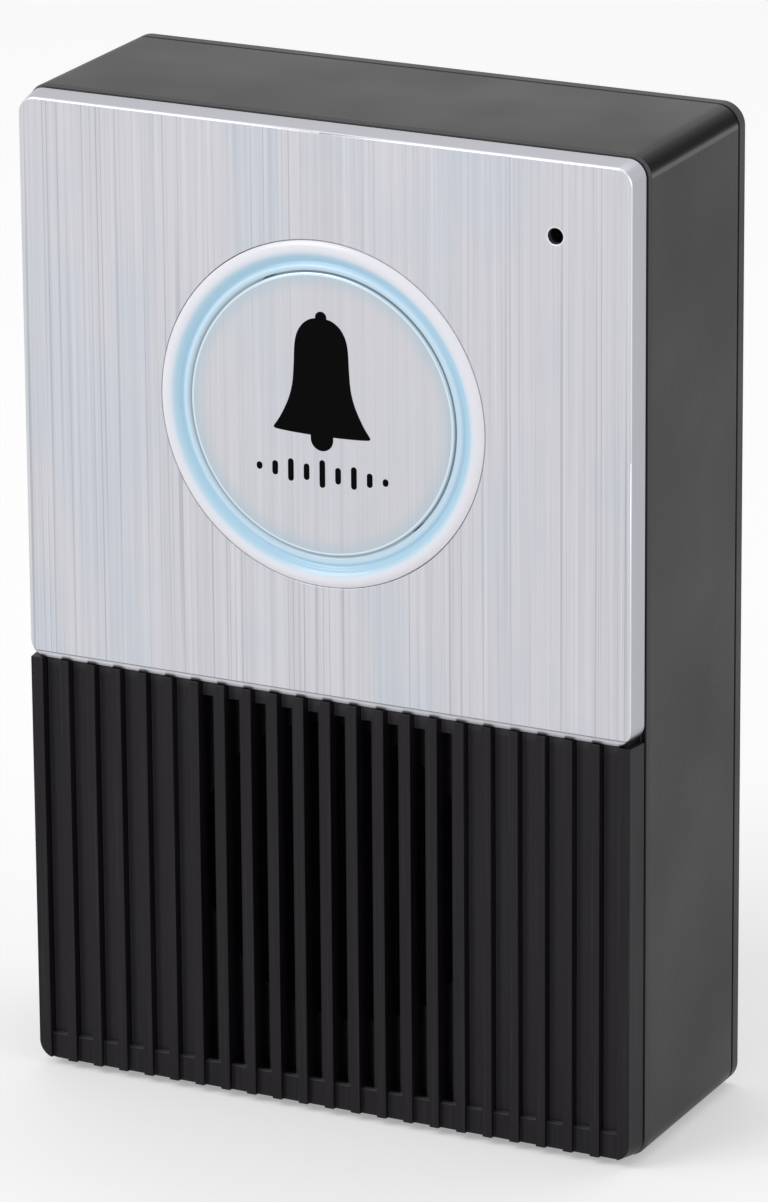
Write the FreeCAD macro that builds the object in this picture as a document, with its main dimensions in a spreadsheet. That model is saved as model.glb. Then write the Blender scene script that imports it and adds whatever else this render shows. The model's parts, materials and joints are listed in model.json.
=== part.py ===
import FreeCAD, Part
import math
import os

import Sketcher
from FreeCAD import Vector

# A battery door station: a moulded housing that clips to a wall plate, a ribbed front cover with a
# brushed fascia plate over its upper part, and a round bell push inside a lit ring.
# X runs to the right, Y from the front to the wall and Z upward, in millimetres. Depths are counted
# from the seam between the front cover and the housing, and grow towards the wall.

SIZES = [
    # the outer form
    ("width", "88.0", "housing, left to right"),
    ("height", "134.0", "housing, foot to top"),
    ("corner", "3.0", "housing corner radius"),
    ("housing_depth", "27.0", "seam to the housing's rear rim"),
    ("front_depth", "3.9", "face of the fascia to the seam"),
    ("rear_gap", "0.3", "shadow gap before the wall plate"),
    ("rear_thick", "2.2", "wall plate thickness"),
    ("edge_break", "0.4", "chamfer on the moulded outer edges"),
    # the shells
    ("wall", "2.2", "housing side wall"),
    ("front_wall", "2.0", "housing front wall"),
    ("inner_corner", "1.2", "corner radius inside the housing"),
    ("front_inset", "0.35", "front cover stands inside the housing by this"),
    ("front_lean", "0.45", "front cover narrows by this towards its face, each side"),
    ("front_corner", "2.4", "front cover corner radius"),
    ("seam_gap", "0.4", "depth of the shadow line at the seam"),
    ("plinth_inset", "0.5", "step of the foot behind the front cover"),
    # clearances
    ("meet", "0.05", "between pieces that only just meet"),
    ("seat", "0.1", "around pieces that sit in a seat"),
    ("slide", "0.2", "beside pieces that travel"),
    ("loose", "0.3", "beside pieces that lift off"),
    # the fascia plate
    ("plate_thick", "1.0", "fascia sheet"),
    ("plate_height", "75.9", "fascia face, from its top edge to the end of its lip"),
    ("lip_height", "1.0", "bevelled lower lip"),
    ("lip_depth", "0.45", "how far the lip leans back"),
    ("face_round", "0.35", "rounding of the fascia's front edge"),
    ("mic_r", "1.05", "microphone hole"),
    ("mic_inset", "11.2", "microphone hole, from the right side"),
    ("mic_drop", "9.7", "microphone hole, below the face's top edge"),
    # the lit ring
    ("ring_drop", "37.2", "middle of the ring, below the face's top edge"),
    ("ring_bore", "19.0", "inner radius of the ring"),
    ("ring_band", "3.95", "width of the ring"),
    ("ring_proud", "0.5", "crown of the ring, in front of the fascia"),
    ("ring_crest", "0.5", "width of the flat inner rim"),
    ("ring_valley", "1.3", "width of the glowing groove"),
    ("valley_floor", "0.5", "width of the groove's floor"),
    ("valley_depth", "0.45", "depth of the glowing groove"),
    ("tube_thick", "2.2", "wall of the light guide behind the ring"),
    ("tube_end", "4.5", "depth where the light guide ends"),
    # the bell push
    ("cap_thick", "1.0", "metal disc of the push"),
    ("cap_bevel", "0.3", "bevel on the disc's edge and on the ring's inner edge"),
    ("carrier_thick", "1.4", "moulded disc behind the metal one"),
    ("skirt_thick", "1.4", "skirt of the push"),
    ("lug_thick", "1.3", "stop lugs of the push"),
    ("lug_width", "5.0", "stop lugs of the push"),
    ("lug_over", "1.2", "how far the stop lugs reach past the light guide"),
    ("lug_count", "3", "stop lugs round the push"),
    ("travel", "1.0", "travel of the push"),
    ("stem_r", "3.0", "stem that presses the switch"),
    ("rib_thick", "1.2", "stiffening ribs of the push"),
    ("rib_count", "6", "stiffening ribs of the push"),
    ("spring_r", "7.0", "mean radius of the return spring"),
    ("spring_wire", "0.6", "wire of the return spring"),
    ("spring_turns", "4", "turns of the return spring"),
    ("sleeve_thick", "1.7", "guide sleeve in the housing"),
    ("sleeve_end", "6.2", "depth where the guide sleeve ends"),
    # the ribbed grille
    ("groove_count", "22", "grooves across the grille"),
    ("slot_count", "10", "grooves that are open"),
    ("rib_width", "1.35", "rib between two grooves"),
    ("edge_bar", "1.75", "bar beside the outermost grooves"),
    ("groove_depth", "1.5", "depth of the closed grooves"),
    ("ledge_height", "3.4", "raised floor along the foot of the grille"),
    ("ledge_depth", "0.7", "depth of the grooves over the ledge"),
    ("slot_depth", "3.0", "depth of the ribs between the open slots"),
    ("slot_side", "1.1", "floor left beside each open slot"),
    # the speaker
    ("speaker_height", "32.6", "middle of the speaker above the foot"),
    ("speaker_window", "20.5", "radius of the opening in the housing"),
    ("speaker_rim", "4.5", "speaker's flange, outside the opening"),
    ("screen_thick", "0.3", "dust screen"),
    ("gasket_thick", "1.0", "foam ring before the speaker"),
    ("flange_thick", "0.8", "speaker flange"),
    ("magnet_r", "11.5", "speaker magnet"),
    ("magnet_thick", "2.6", "speaker magnet"),
    ("sheet_thick", "0.6", "pressed steel basket"),
    ("cone_thick", "0.4", "speaker membrane"),
    ("cone_drop", "1.2", "slope of the membrane, from its roll to the coil"),
    ("dome_rise", "1.0", "dome in the middle of the membrane"),
    ("roll_width", "2.8", "soft roll round the membrane"),
    ("roll_rise", "0.5", "soft roll round the membrane"),
    ("coil_r", "5.6", "voice coil, inner radius"),
    # the circuit board
    ("board_inset", "4.8", "circuit board, from the inner side walls"),
    ("board_lift", "4.8", "lower edge of the board above the battery tray"),
    ("board_thick", "1.6", "circuit board"),
    ("board_drop", "4.8", "upper edge of the board below the top wall"),
    ("board_gap", "0.55", "between the push at its deepest and the board"),
    ("board_screw_inset", "3.4", "board screws, from the board's sides"),
    ("board_screw_drop", "15.0", "upper board screws, below the board's upper edge"),
    ("switch_side", "6.0", "push switch"),
    ("switch_thick", "3.5", "push switch body"),
    ("switch_bore", "2.4", "bore that guides the plunger"),
    ("plunger_r", "1.75", "push switch plunger"),
    ("plunger_proud", "1.5", "plunger above the switch body"),
    ("pair_travel", "0.3", "travel of the pairing button"),
    ("pair_inset", "9.0", "pairing button, from the board's side"),
    ("pair_rise", "12.0", "pairing button, above the board's lower edge"),
    ("lamp_count", "3", "lamps between two stop lugs"),
    ("lamp_side", "1.8", "lamp, across"),
    ("lamp_thick", "1.3", "lamp height"),
    ("capsule_r", "3.0", "microphone capsule"),
    ("capsule_thick", "2.4", "microphone capsule"),
    ("boot_wall", "0.9", "rubber boot of the microphone"),
    ("shield_width", "23.0", "tin can over the radio"),
    ("shield_height", "16.0", "tin can over the radio"),
    ("shield_deep", "2.4", "tin can over the radio"),
    ("chip_side", "10.0", "processor"),
    ("chip_thick", "1.0", "processor"),
    ("can_r", "4.0", "capacitor"),
    ("can_tall", "9.2", "capacitor"),
    ("plug_width", "8.0", "battery connector"),
    ("plug_height", "6.0", "battery connector"),
    ("plug_deep", "5.0", "battery connector"),
    ("plug_wall", "0.8", "battery connector"),
    ("strip_length", "23.0", "antenna strip"),
    ("strip_width", "4.0", "antenna strip"),
    ("strip_rise", "4.0", "antenna strip, above the board"),
    ("leg_pitch", "6.0", "between the antenna's two legs"),
    # the batteries
    ("cell_r", "7.25", "round cell"),
    ("cell_length", "50.5", "round cell with its nub"),
    ("cell_gap", "0.5", "between two cells"),
    ("cell_count", "3", "cells side by side"),
    ("nub_r", "2.75", "nub at the cell's plus end"),
    ("nub_length", "1.3", "nub at the cell's plus end"),
    ("tray_wall", "1.2", "battery tray wall"),
    ("tray_floor", "1.0", "battery tray floor"),
    ("contact_thick", "0.4", "contact strip and other tin sheet"),
    ("contact_width", "8.0", "contact strip"),
    ("contact_bow", "5.0", "how far a sprung contact bows out"),
    # screws and their seats
    ("pilot_r", "1.2", "screw holes in bosses"),
    ("boss_r", "3.0", "bosses for board and tray"),
    ("small_boss_r", "1.9", "bosses of the front cover"),
    ("head_r", "2.6", "screw heads"),
    ("head_thick", "1.5", "screw heads"),
    ("bite", "4.0", "length of thread in a boss"),
    ("screw_reach", "1.2", "front screw holes, beyond the seam into the cover"),
    ("screw_inset", "3.8", "front screws, from the inner walls"),
    ("screw_low", "24.0", "lower front screws above the foot"),
    ("screw_below", "13.0", "middle front screws, below the middle of the ring"),
    ("washer_r", "3.6", "washers that clamp the speaker"),
    ("washer_thick", "0.6", "washers that clamp the speaker"),
    # seals
    ("seal_width", "1.2", "foam cord of the seals"),
    ("seal_inset", "1.3", "outer edge of the seals, inside the housing's"),
    ("seal_groove", "0.8", "depth of the front seal's groove"),
    ("rear_groove", "0.5", "depth of the rear seal's groove"),
    # the wall plate
    ("spigot_depth", "2.0", "rim that enters the housing"),
    ("spigot_thick", "1.6", "rim that enters the housing"),
    ("hole_inset", "10.0", "wall screw holes, from the sides"),
    ("hole_low", "20.0", "lower wall screw holes above the foot"),
    ("hole_top", "24.0", "upper wall screw holes below the top"),
    ("hole_r", "2.25", "wall screw holes"),
    ("pad_r", "5.0", "pads round the wall screw holes"),
    ("pad_thick", "1.0", "pads round the wall screw holes"),
    ("tongue_width", "10.0", "tongues at the top"),
    ("tongue_thick", "2.0", "tongues at the top"),
    ("tongue_reach", "6.3", "tongues at the top"),
    ("tongue_side", "20.0", "tongues, from the middle"),
    ("tab_width", "12.0", "tab for the lock screw"),
    ("tab_thick", "3.5", "tab for the lock screw"),
    ("tab_reach", "9.8", "tab for the lock screw"),
    ("tab_gap", "2.9", "between the tab and the battery tray"),
    ("lock_back", "5.8", "lock screw, in front of the wall plate"),
    ("lock_r", "1.5", "lock screw shank"),
    ("lock_head_r", "2.9", "lock screw head"),
    ("lock_head", "1.2", "lock screw head"),
    ("lock_recess", "1.4", "recess for the lock screw's head"),
    ("socket_r", "1.2", "hexagon socket in the lock screw's head, to its corners"),
]

doc = FreeCAD.newDocument("door_station")
sheet = doc.addObject("Spreadsheet::Sheet", "dims")
for row, (alias, number, note) in enumerate(SIZES, 1):
    sheet.set(f"A{row}", alias)
    sheet.set(f"B{row}", number)
    sheet.set(f"C{row}", note)
    sheet.setAlias(f"B{row}", alias)
doc.recompute()


class Size:
    # a length that carries its number and the sheet formula behind it
    def __init__(self, number, formula):
        self.number = float(number)
        self.formula = formula

    def __add__(self, other):
        return joined(self, "+", other)

    def __radd__(self, other):
        return joined(other, "+", self)

    def __sub__(self, other):
        return joined(self, "-", other)

    def __rsub__(self, other):
        return joined(other, "-", self)

    def __mul__(self, other):
        return joined(self, "*", other)

    def __rmul__(self, other):
        return joined(other, "*", self)

    def __truediv__(self, other):
        return joined(self, "/", other)

    def __neg__(self):
        return joined(0, "-", self)


def as_size(value):
    if isinstance(value, Size):
        return value
    return Size(value, f"({value:.9f})")


def joined(left, sign, right):
    left = as_size(left)
    right = as_size(right)
    if sign == "+":
        number = left.number + right.number
    elif sign == "-":
        number = left.number - right.number
    elif sign == "*":
        number = left.number * right.number
    else:
        number = left.number / right.number
    return Size(number, f"({left.formula} {sign} {right.formula})")


class Sizes:
    # the sheet's cells by name, each as a Size
    def __getattr__(self, alias):
        return Size(sheet.get(alias), "dims." + alias)


d = Sizes()


# Sketches: each shape is a function that draws itself on a sketch with its sizes bound to the sheet.

def bind(sketch, constraint, size):
    index = sketch.addConstraint(constraint)
    sketch.setExpression(f"Constraints[{index}]", size.formula)


def place_point(sketch, geometry, point, u, v):
    bind(sketch, Sketcher.Constraint("DistanceX", -1, 1, geometry, point, u.number), u)
    bind(sketch, Sketcher.Constraint("DistanceY", -1, 1, geometry, point, v.number), v)


def circle(u, v, radius):
    u, v, radius = as_size(u), as_size(v), as_size(radius)

    def draw(sketch):
        centre = Vector(u.number, v.number, 0)
        index = sketch.addGeometry(Part.Circle(centre, Vector(0, 0, 1), radius.number), False)
        bind(sketch, Sketcher.Constraint("Radius", index, radius.number), radius)
        place_point(sketch, index, 3, u, v)
    return draw


def arc_between(start, end, radius):
    # the shorter arc from one point to another: a positive radius turns left, a negative one right
    chord = end - start
    across = Vector(-chord.y, chord.x, 0).normalize()
    rise = math.sqrt(radius ** 2 - (chord.Length / 2) ** 2)
    centre = (start + end) * 0.5 + across * math.copysign(rise, radius)
    first, last = (start, end) if radius > 0 else (end, start)
    angles = [math.atan2(point.y - centre.y, point.x - centre.x) for point in (first, last)]
    if angles[1] < angles[0]:
        angles[1] += 2 * math.pi
    return Part.ArcOfCircle(Part.Circle(centre, Vector(0, 0, 1), abs(radius)), *angles)


def outline(points):
    # a closed loop; a third value makes the side that starts there an arc of that radius
    places = [(as_size(point[0]), as_size(point[1])) for point in points]
    bends = [as_size(point[2]) if len(point) > 2 else None for point in points]

    def draw(sketch):
        ends = [Vector(u.number, v.number, 0) for u, v in places]
        first = sketch.GeometryCount
        count = len(ends)
        sides = []
        starts = []
        for i, bend in enumerate(bends):
            after = ends[(i + 1) % count]
            if bend:
                sides.append(arc_between(ends[i], after, bend.number))
            else:
                sides.append(Part.LineSegment(ends[i], after))
            starts.append(2 if bend and bend.number < 0 else 1)
        sketch.addGeometry(sides, False)
        for i in range(count):
            after = (i + 1) % count
            sketch.addConstraint(
                Sketcher.Constraint("Coincident", first + i, 3 - starts[i], first + after, starts[after])
            )
        for i, (u, v) in enumerate(places):
            place_point(sketch, first + i, starts[i], u, v)
        for i, bend in enumerate(bends):
            if bend:
                radius = bend if bend.number > 0 else -bend
                bind(sketch, Sketcher.Constraint("Radius", first + i, radius.number), radius)
    return draw


def rectangle(left, right, low, high):
    return outline([(left, low), (right, low), (right, high), (left, high)])


def rounded(left, right, low, high, radius):
    left, right, low, high, radius = [as_size(size) for size in (left, right, low, high, radius)]

    def draw(sketch):
        x0, x1, y0, y1 = left.number, right.number, low.number, high.number
        r = radius.number
        first = sketch.GeometryCount
        sides = [
            ((x0 + r, y0), (x1 - r, y0)),
            ((x1, y0 + r), (x1, y1 - r)),
            ((x1 - r, y1), (x0 + r, y1)),
            ((x0, y1 - r), (x0, y0 + r)),
        ]
        middles = [(x1 - r, y0 + r, -90), (x1 - r, y1 - r, 0), (x0 + r, y1 - r, 90), (x0 + r, y0 + r, 180)]
        geometry = [Part.LineSegment(Vector(*a, 0), Vector(*b, 0)) for a, b in sides]
        for x, y, start in middles:
            whole = Part.Circle(Vector(x, y, 0), Vector(0, 0, 1), r)
            geometry.append(Part.ArcOfCircle(whole, math.radians(start), math.radians(start + 90)))
        sketch.addGeometry(geometry, False)
        for i in range(4):
            corner = first + 4 + i
            sketch.addConstraint(Sketcher.Constraint("Tangent", first + i, 2, corner, 1))
            sketch.addConstraint(Sketcher.Constraint("Tangent", corner, 2, first + (i + 1) % 4, 1))
        for i in range(4):
            kind = "Horizontal" if i % 2 == 0 else "Vertical"
            sketch.addConstraint(Sketcher.Constraint(kind, first + i))
        for i in range(5, 8):
            sketch.addConstraint(Sketcher.Constraint("Equal", first + 4, first + i))
        bind(sketch, Sketcher.Constraint("Radius", first + 4, r), radius)
        bind(sketch, Sketcher.Constraint("DistanceX", -1, 1, first + 3, 1, x0), left)
        bind(sketch, Sketcher.Constraint("DistanceX", -1, 1, first + 1, 1, x1), right)
        bind(sketch, Sketcher.Constraint("DistanceY", -1, 1, first, 1, y0), low)
        bind(sketch, Sketcher.Constraint("DistanceY", -1, 1, first + 2, 1, y1), high)
    return draw


def new_body(label):
    body = doc.addObject("PartDesign::Body", label)
    body.Label = label
    body.AllowCompound = True
    body.setExpression("Placement.Base.y", seam_y.formula)
    return body


def new_sketch(body, name, role, offset, shapes):
    plane = [item for item in body.Origin.OriginFeatures if item.Role == role][0]
    sketch = body.newObject("Sketcher::SketchObject", name)
    sketch.AttachmentSupport = [(plane, "")]
    sketch.MapMode = "FlatFace"
    for axis, size in zip("xyz", offset):
        size = as_size(size)
        sketch.setExpression(f".AttachmentOffset.Base.{axis}", size.formula)
    for draw in shapes:
        draw(sketch)
    return sketch


def feature(body, kind, sketch, name, length, reverse):
    item = body.newObject(kind, name)
    item.Profile = sketch
    item.Reversed = reverse
    item.setExpression("Length", as_size(length).formula)
    sketch.Visibility = False
    doc.recompute()
    before = item.BaseFeature.Shape.Volume if item.BaseFeature else 0
    gained = item.Shape.Volume - before
    if (gained > 0) != kind.endswith("Pad") or gained == 0:
        raise RuntimeError(f"{body.Label}: {name} changes the volume by {gained}")
    return item


# Features drawn in the front view run from one depth back to another.

def pad(body, name, start, end, *shapes, middle=(0, 0)):
    start, end = as_size(start), as_size(end)
    sketch = new_sketch(body, name + "_sketch", "XZ_Plane", (middle[0], middle[1], -start), shapes)
    return feature(body, "PartDesign::Pad", sketch, name, end - start, True)


def pocket(body, name, start, end, *shapes, middle=(0, 0)):
    start, end = as_size(start), as_size(end)
    sketch = new_sketch(body, name + "_sketch", "XZ_Plane", (middle[0], middle[1], -start), shapes)
    return feature(body, "PartDesign::Pocket", sketch, name, end - start, False)


# Features drawn in the plan view run upward from one height to another.

def pad_up(body, name, start, end, *shapes):
    start, end = as_size(start), as_size(end)
    sketch = new_sketch(body, name + "_sketch", "XY_Plane", (0, 0, start), shapes)
    return feature(body, "PartDesign::Pad", sketch, name, end - start, False)


def pocket_up(body, name, start, end, *shapes):
    start, end = as_size(start), as_size(end)
    sketch = new_sketch(body, name + "_sketch", "XY_Plane", (0, 0, start), shapes)
    return feature(body, "PartDesign::Pocket", sketch, name, end - start, True)


# Features drawn in the side view run to the right from one place to another.

def pad_right(body, name, start, end, *shapes):
    start, end = as_size(start), as_size(end)
    sketch = new_sketch(body, name + "_sketch", "YZ_Plane", (0, 0, start), shapes)
    return feature(body, "PartDesign::Pad", sketch, name, end - start, False)


def loft(body, kind, name, front, back, front_shape, back_shape):
    first = new_sketch(body, name + "_front", "XZ_Plane", (0, 0, -front), [front_shape])
    last = new_sketch(body, name + "_back", "XZ_Plane", (0, 0, -back), [back_shape])
    item = body.newObject(kind, name)
    item.Profile = first
    item.Sections = [last]
    item.Ruled = True
    first.Visibility = False
    last.Visibility = False
    doc.recompute()
    return item


def revolve(body, name, height, shape):
    # turned about the line that runs front to back at this height
    sketch = new_sketch(body, name + "_sketch", "XY_Plane", (0, 0, height), [shape])
    item = body.newObject("PartDesign::Revolution", name)
    item.Profile = sketch
    item.ReferenceAxis = (sketch, ["V_Axis"])
    item.Angle = 360.0
    sketch.Visibility = False
    doc.recompute()
    return item


def around(body, name, original, count):
    item = body.newObject("PartDesign::PolarPattern", name)
    item.Originals = [original]
    item.Axis = (original.Profile[0], ["N_Axis"])
    item.Angle = 360.0
    item.setExpression("Occurrences", as_size(count).formula)
    body.Tip = item
    doc.recompute()
    return item


def along(body, name, original, count, pitch):
    item = body.newObject("PartDesign::LinearPattern", name)
    item.Originals = [original]
    item.Direction = (original.Profile[0], ["H_Axis"])
    item.setExpression("Length", (pitch * (count - 1)).formula)
    item.setExpression("Occurrences", count.formula)
    body.Tip = item
    doc.recompute()
    return item


def edges_where(item, test):
    return [f"Edge{i}" for i, edge in enumerate(item.Shape.Edges, 1) if test(edge)]


def dress(body, kind, name, item, test, size):
    dressed = body.newObject(kind, name)
    dressed.Base = (item, edges_where(item, test))
    dressed.setExpression("Size" if kind.endswith("Chamfer") else "Radius", size.formula)
    doc.recompute()
    return dressed


def lies_at(edge, axis, place):
    box = edge.BoundBox
    low, high = {"y": (box.YMin, box.YMax), "z": (box.ZMin, box.ZMax)}[axis]
    return abs(low - place) < 1e-4 and abs(high - place) < 1e-4


# Places worked out from the sizes above.

crown = -d.front_depth - d.ring_proud
overall_depth = d.housing_depth + d.rear_gap + d.rear_thick - crown
seam_y = -crown - overall_depth / 2
face_inset = d.front_inset + d.front_lean
face_top = d.height - face_inset
face_half = d.width / 2 - face_inset
ring_z = face_top - d.ring_drop
mic_side = d.width / 2 - d.mic_inset
mic_z = face_top - d.mic_drop
lip_z = face_top - d.plate_height
back_of_front = -d.seam_gap
ahead = -d.front_depth - d.wall
rim = d.housing_depth
plate_front = rim + d.rear_gap
plate_back = plate_front + d.rear_thick
inner_half = d.width / 2 - d.wall
inner_low = d.wall
inner_high = d.height - d.wall

ring_r = d.ring_bore + d.ring_band
cap_r = d.ring_bore - d.slide
tube_r = d.ring_bore + d.tube_thick
sleeve_r = tube_r + d.loose
sleeve_outer = sleeve_r + d.sleeve_thick
cap_back = d.cap_thick - d.front_depth
carrier_back = cap_back + d.carrier_thick
skirt_r = cap_r - d.loose
lug_front = d.tube_end + d.meet
lug_back = lug_front + d.lug_thick
lug_reach = tube_r + d.lug_over
board_depth = lug_back + d.travel + d.board_gap
plunger_top = board_depth - d.switch_thick - d.plunger_proud
board_back = board_depth + d.board_thick
lock_depth = plate_front - d.lock_back
tab_low = inner_low + d.loose
tab_high = tab_low + d.tab_thick

cell_pitch = d.cell_r * 2 + d.cell_gap
cell_depth = plate_front - d.pad_thick - d.seat - d.cell_r
tray_half = (d.cell_length + d.contact_thick + d.contact_bow) / 2 + d.meet
tray_outer = tray_half + d.tray_wall
tray_low = tab_high + d.tab_gap
first_cell = tray_low + d.tray_wall + d.slide + d.cell_r
tray_high = first_cell + cell_pitch * (d.cell_count - 1) + d.cell_r + d.slide + d.tray_wall
tray_inside = cell_depth - d.cell_r - d.meet
tray_depth = tray_inside - d.tray_floor
tray_back = plate_front - d.pad_thick - d.loose
ear_side = tray_outer + d.boss_r + d.loose
ear_inset = d.boss_r + d.loose

board_half = inner_half - d.board_inset
board_high = inner_high - d.board_drop
board_foot = tray_high + d.board_lift
board_screw_side = board_half - d.board_screw_inset
pair_side = d.pair_inset - board_half
pair_height = board_foot + d.pair_rise
strip_low = board_high - d.strip_width * 2

speaker_r = d.speaker_window + d.speaker_rim
flange_front = d.front_wall + d.screen_thick + d.gasket_thick
flange_back = flange_front + d.flange_thick
magnet_back = tray_depth - d.seat
clamp_radius = speaker_r + d.boss_r + d.seat

groove_width = (2 * face_half - 2 * d.edge_bar - (d.groove_count - 1) * d.rib_width) / d.groove_count
groove_pitch = groove_width + d.rib_width
ledge_top = face_inset + d.ledge_height
groove_left = d.edge_bar - face_half
closed_count = int((d.groove_count.number - d.slot_count.number) // 2)
slots_left = groove_left + groove_pitch * closed_count

board_screws = [
    (side * board_screw_side, height)
    for side in (-1, 1)
    for height in (board_foot + d.board_screw_inset, board_high - d.board_screw_drop)
]
front_screws = [
    (side * (inner_half - d.screw_inset), height)
    for side in (-1, 1)
    for height in (d.screw_low, ring_z - d.screw_below)
] + [(side * ring_r, inner_high - d.screw_inset) for side in (-1, 1)]
tray_screws = [
    (side * ear_side, height)
    for side in (-1, 1)
    for height in (tray_low + ear_inset, tray_high - ear_inset)
]
speaker_screws = [
    (
        clamp_radius * math.cos(math.radians(angle)),
        d.speaker_height + clamp_radius * math.sin(math.radians(angle)),
    )
    for angle in (60, 180, 300)
]
wall_holes = [
    (side * (d.width / 2 - d.hole_inset), height)
    for side in (-1, 1)
    for height in (d.hole_low, d.height - d.hole_top)
]


def circles(places, radius):
    return [circle(x, z, radius) for x, z in places]


def frame_shape(inset, radius):
    edge = d.width / 2 - inset
    return rounded(-edge, edge, as_size(inset), d.height - inset, radius)


def main_housing():
    body = new_body("main_housing")
    pad(body, "shell", 0, rim, frame_shape(0, d.corner))
    cavity = rounded(-inner_half, inner_half, inner_low, inner_high, d.inner_corner)
    pocket(body, "cavity", d.front_wall, rim, cavity)
    pocket(
        body, "front_openings", 0, d.front_wall,
        circle(0, ring_z, sleeve_r),
        circle(0, d.speaker_height, d.speaker_window),
        circle(mic_side, mic_z, d.mic_r + d.slide * 2),
        *circles(front_screws, d.small_boss_r + d.slide),
    )
    pocket(
        body, "seal_groove", 0, d.seal_groove,
        frame_shape(d.seal_inset, d.corner - d.seal_inset),
        frame_shape(d.seal_inset + d.seal_width, d.seal_width / 2),
    )
    pad(
        body, "sleeve", d.front_wall, d.sleeve_end,
        circle(0, ring_z, sleeve_outer), circle(0, ring_z, sleeve_r),
    )
    notch_half = d.lug_width / 2 + d.loose
    notch = pocket(
        body, "lug_notch", d.front_wall, d.sleeve_end,
        rectangle(-notch_half, notch_half, sleeve_r - d.wall, sleeve_outer + d.wall),
        middle=(0, ring_z),
    )
    around(body, "lug_notches", notch, d.lug_count)
    pad(body, "board_bosses", d.front_wall, board_depth, *circles(board_screws, d.boss_r))
    pad(body, "tray_bosses", d.front_wall, tray_depth, *circles(tray_screws, d.boss_r))
    pad(body, "speaker_bosses", d.front_wall, flange_back, *circles(speaker_screws, d.boss_r))
    pocket(body, "board_pilots", board_depth - d.bite, board_depth, *circles(board_screws, d.pilot_r))
    pocket(body, "tray_pilots", tray_depth - d.bite, tray_depth, *circles(tray_screws, d.pilot_r))
    pocket(
        body, "speaker_pilots", d.front_wall - d.slide, flange_back,
        *circles(speaker_screws, d.pilot_r),
    )
    tongue_sockets(body)
    last = lock_notch(body)
    front_y = 0
    dress(
        body, "PartDesign::Chamfer", "front_edge", last,
        lambda edge: lies_at(edge, "y", front_y) and on_outside(edge), d.edge_break,
    )
    return body


def on_outside(edge):
    # an edge whose middle lies on the housing's outer outline
    middle = edge.valueAt((edge.FirstParameter + edge.LastParameter) / 2)
    half = d.width.number / 2
    reach = d.corner.number / 3
    return (
        abs(middle.x) > half - reach
        or middle.z < reach
        or middle.z > d.height.number - reach
    )


def tongue_sockets(body):
    # channels under the top wall that take the wall plate's tongues
    high = inner_high - d.loose
    low = high - d.tongue_thick
    floor = low - d.loose
    half = d.tongue_width / 2
    start = rim - d.tongue_reach - d.spigot_depth - d.loose
    end = rim - d.spigot_depth - d.loose
    for name, side in (("left", -1), ("right", 1)):
        centre = side * d.tongue_side
        outer = half + d.loose + d.spigot_thick
        inner = half + d.loose
        pad(
            body, name + "_socket", start, end,
            rectangle(centre - outer, centre + outer, floor - d.spigot_thick, inner_high + d.wall / 2),
        )
        pocket(
            body, name + "_channel", start, end,
            rectangle(centre - inner, centre + inner, floor, inner_high),
        )


def lock_notch(body):
    # an open slot for the lock screw and a recess for its head, in the lower wall
    shank = d.lock_r + d.loose
    head = d.lock_head_r + d.loose
    behind = rim + d.wall
    pocket_up(body, "lock_bore", -d.wall, d.wall * 2, circle(0, lock_depth, shank))
    pocket_up(body, "lock_slot", -d.wall, d.wall * 2, rectangle(-shank, shank, lock_depth, behind))
    pocket_up(body, "head_bore", -d.wall, d.lock_recess, circle(0, lock_depth, head))
    return pocket_up(body, "head_slot", -d.wall, d.lock_recess, rectangle(-head, head, lock_depth, behind))


def front_shape(extra, low, radius):
    # outline of the front cover or the fascia, this far inside the housing's outline
    inset = d.front_inset + extra
    edge = d.width / 2 - inset
    return rounded(-edge, edge, low, d.height - inset, radius)


def front_cover():
    body = new_body("front_cover")
    low = d.front_inset
    loft(
        body, "PartDesign::AdditiveLoft", "block", -d.front_depth, back_of_front,
        front_shape(d.front_lean, low + d.front_lean, d.front_corner),
        front_shape(0, low, d.front_corner),
    )
    pocket(
        body, "fascia_seat", ahead, back_of_front,
        rectangle(-d.width, d.width, lip_z, d.height * 2),
    )
    inner = d.plate_thick + d.meet
    taper = d.front_lean * (d.front_depth - inner) / d.front_depth
    loft(
        body, "PartDesign::AdditiveLoft", "carrier", inner - d.front_depth, back_of_front,
        front_shape(inner + taper, lip_z - d.front_corner, d.front_corner - d.plate_thick),
        front_shape(inner, lip_z - d.front_corner, d.front_corner - d.plate_thick),
    )
    plinth = d.front_inset + d.plinth_inset
    pad(body, "plinth", back_of_front, 0, frame_shape(plinth, d.front_corner))
    pad(body, "bosses", 0, d.front_wall - d.seat, *circles(front_screws, d.small_boss_r))
    pocket(body, "pilots", -d.screw_reach, d.front_wall, *circles(front_screws, d.pilot_r))
    pocket(
        body, "openings", -d.front_depth, 0,
        circle(0, ring_z, tube_r + d.seat),
        circle(mic_side, mic_z, d.mic_r + d.slide),
    )
    grille(body)
    return body


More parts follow.
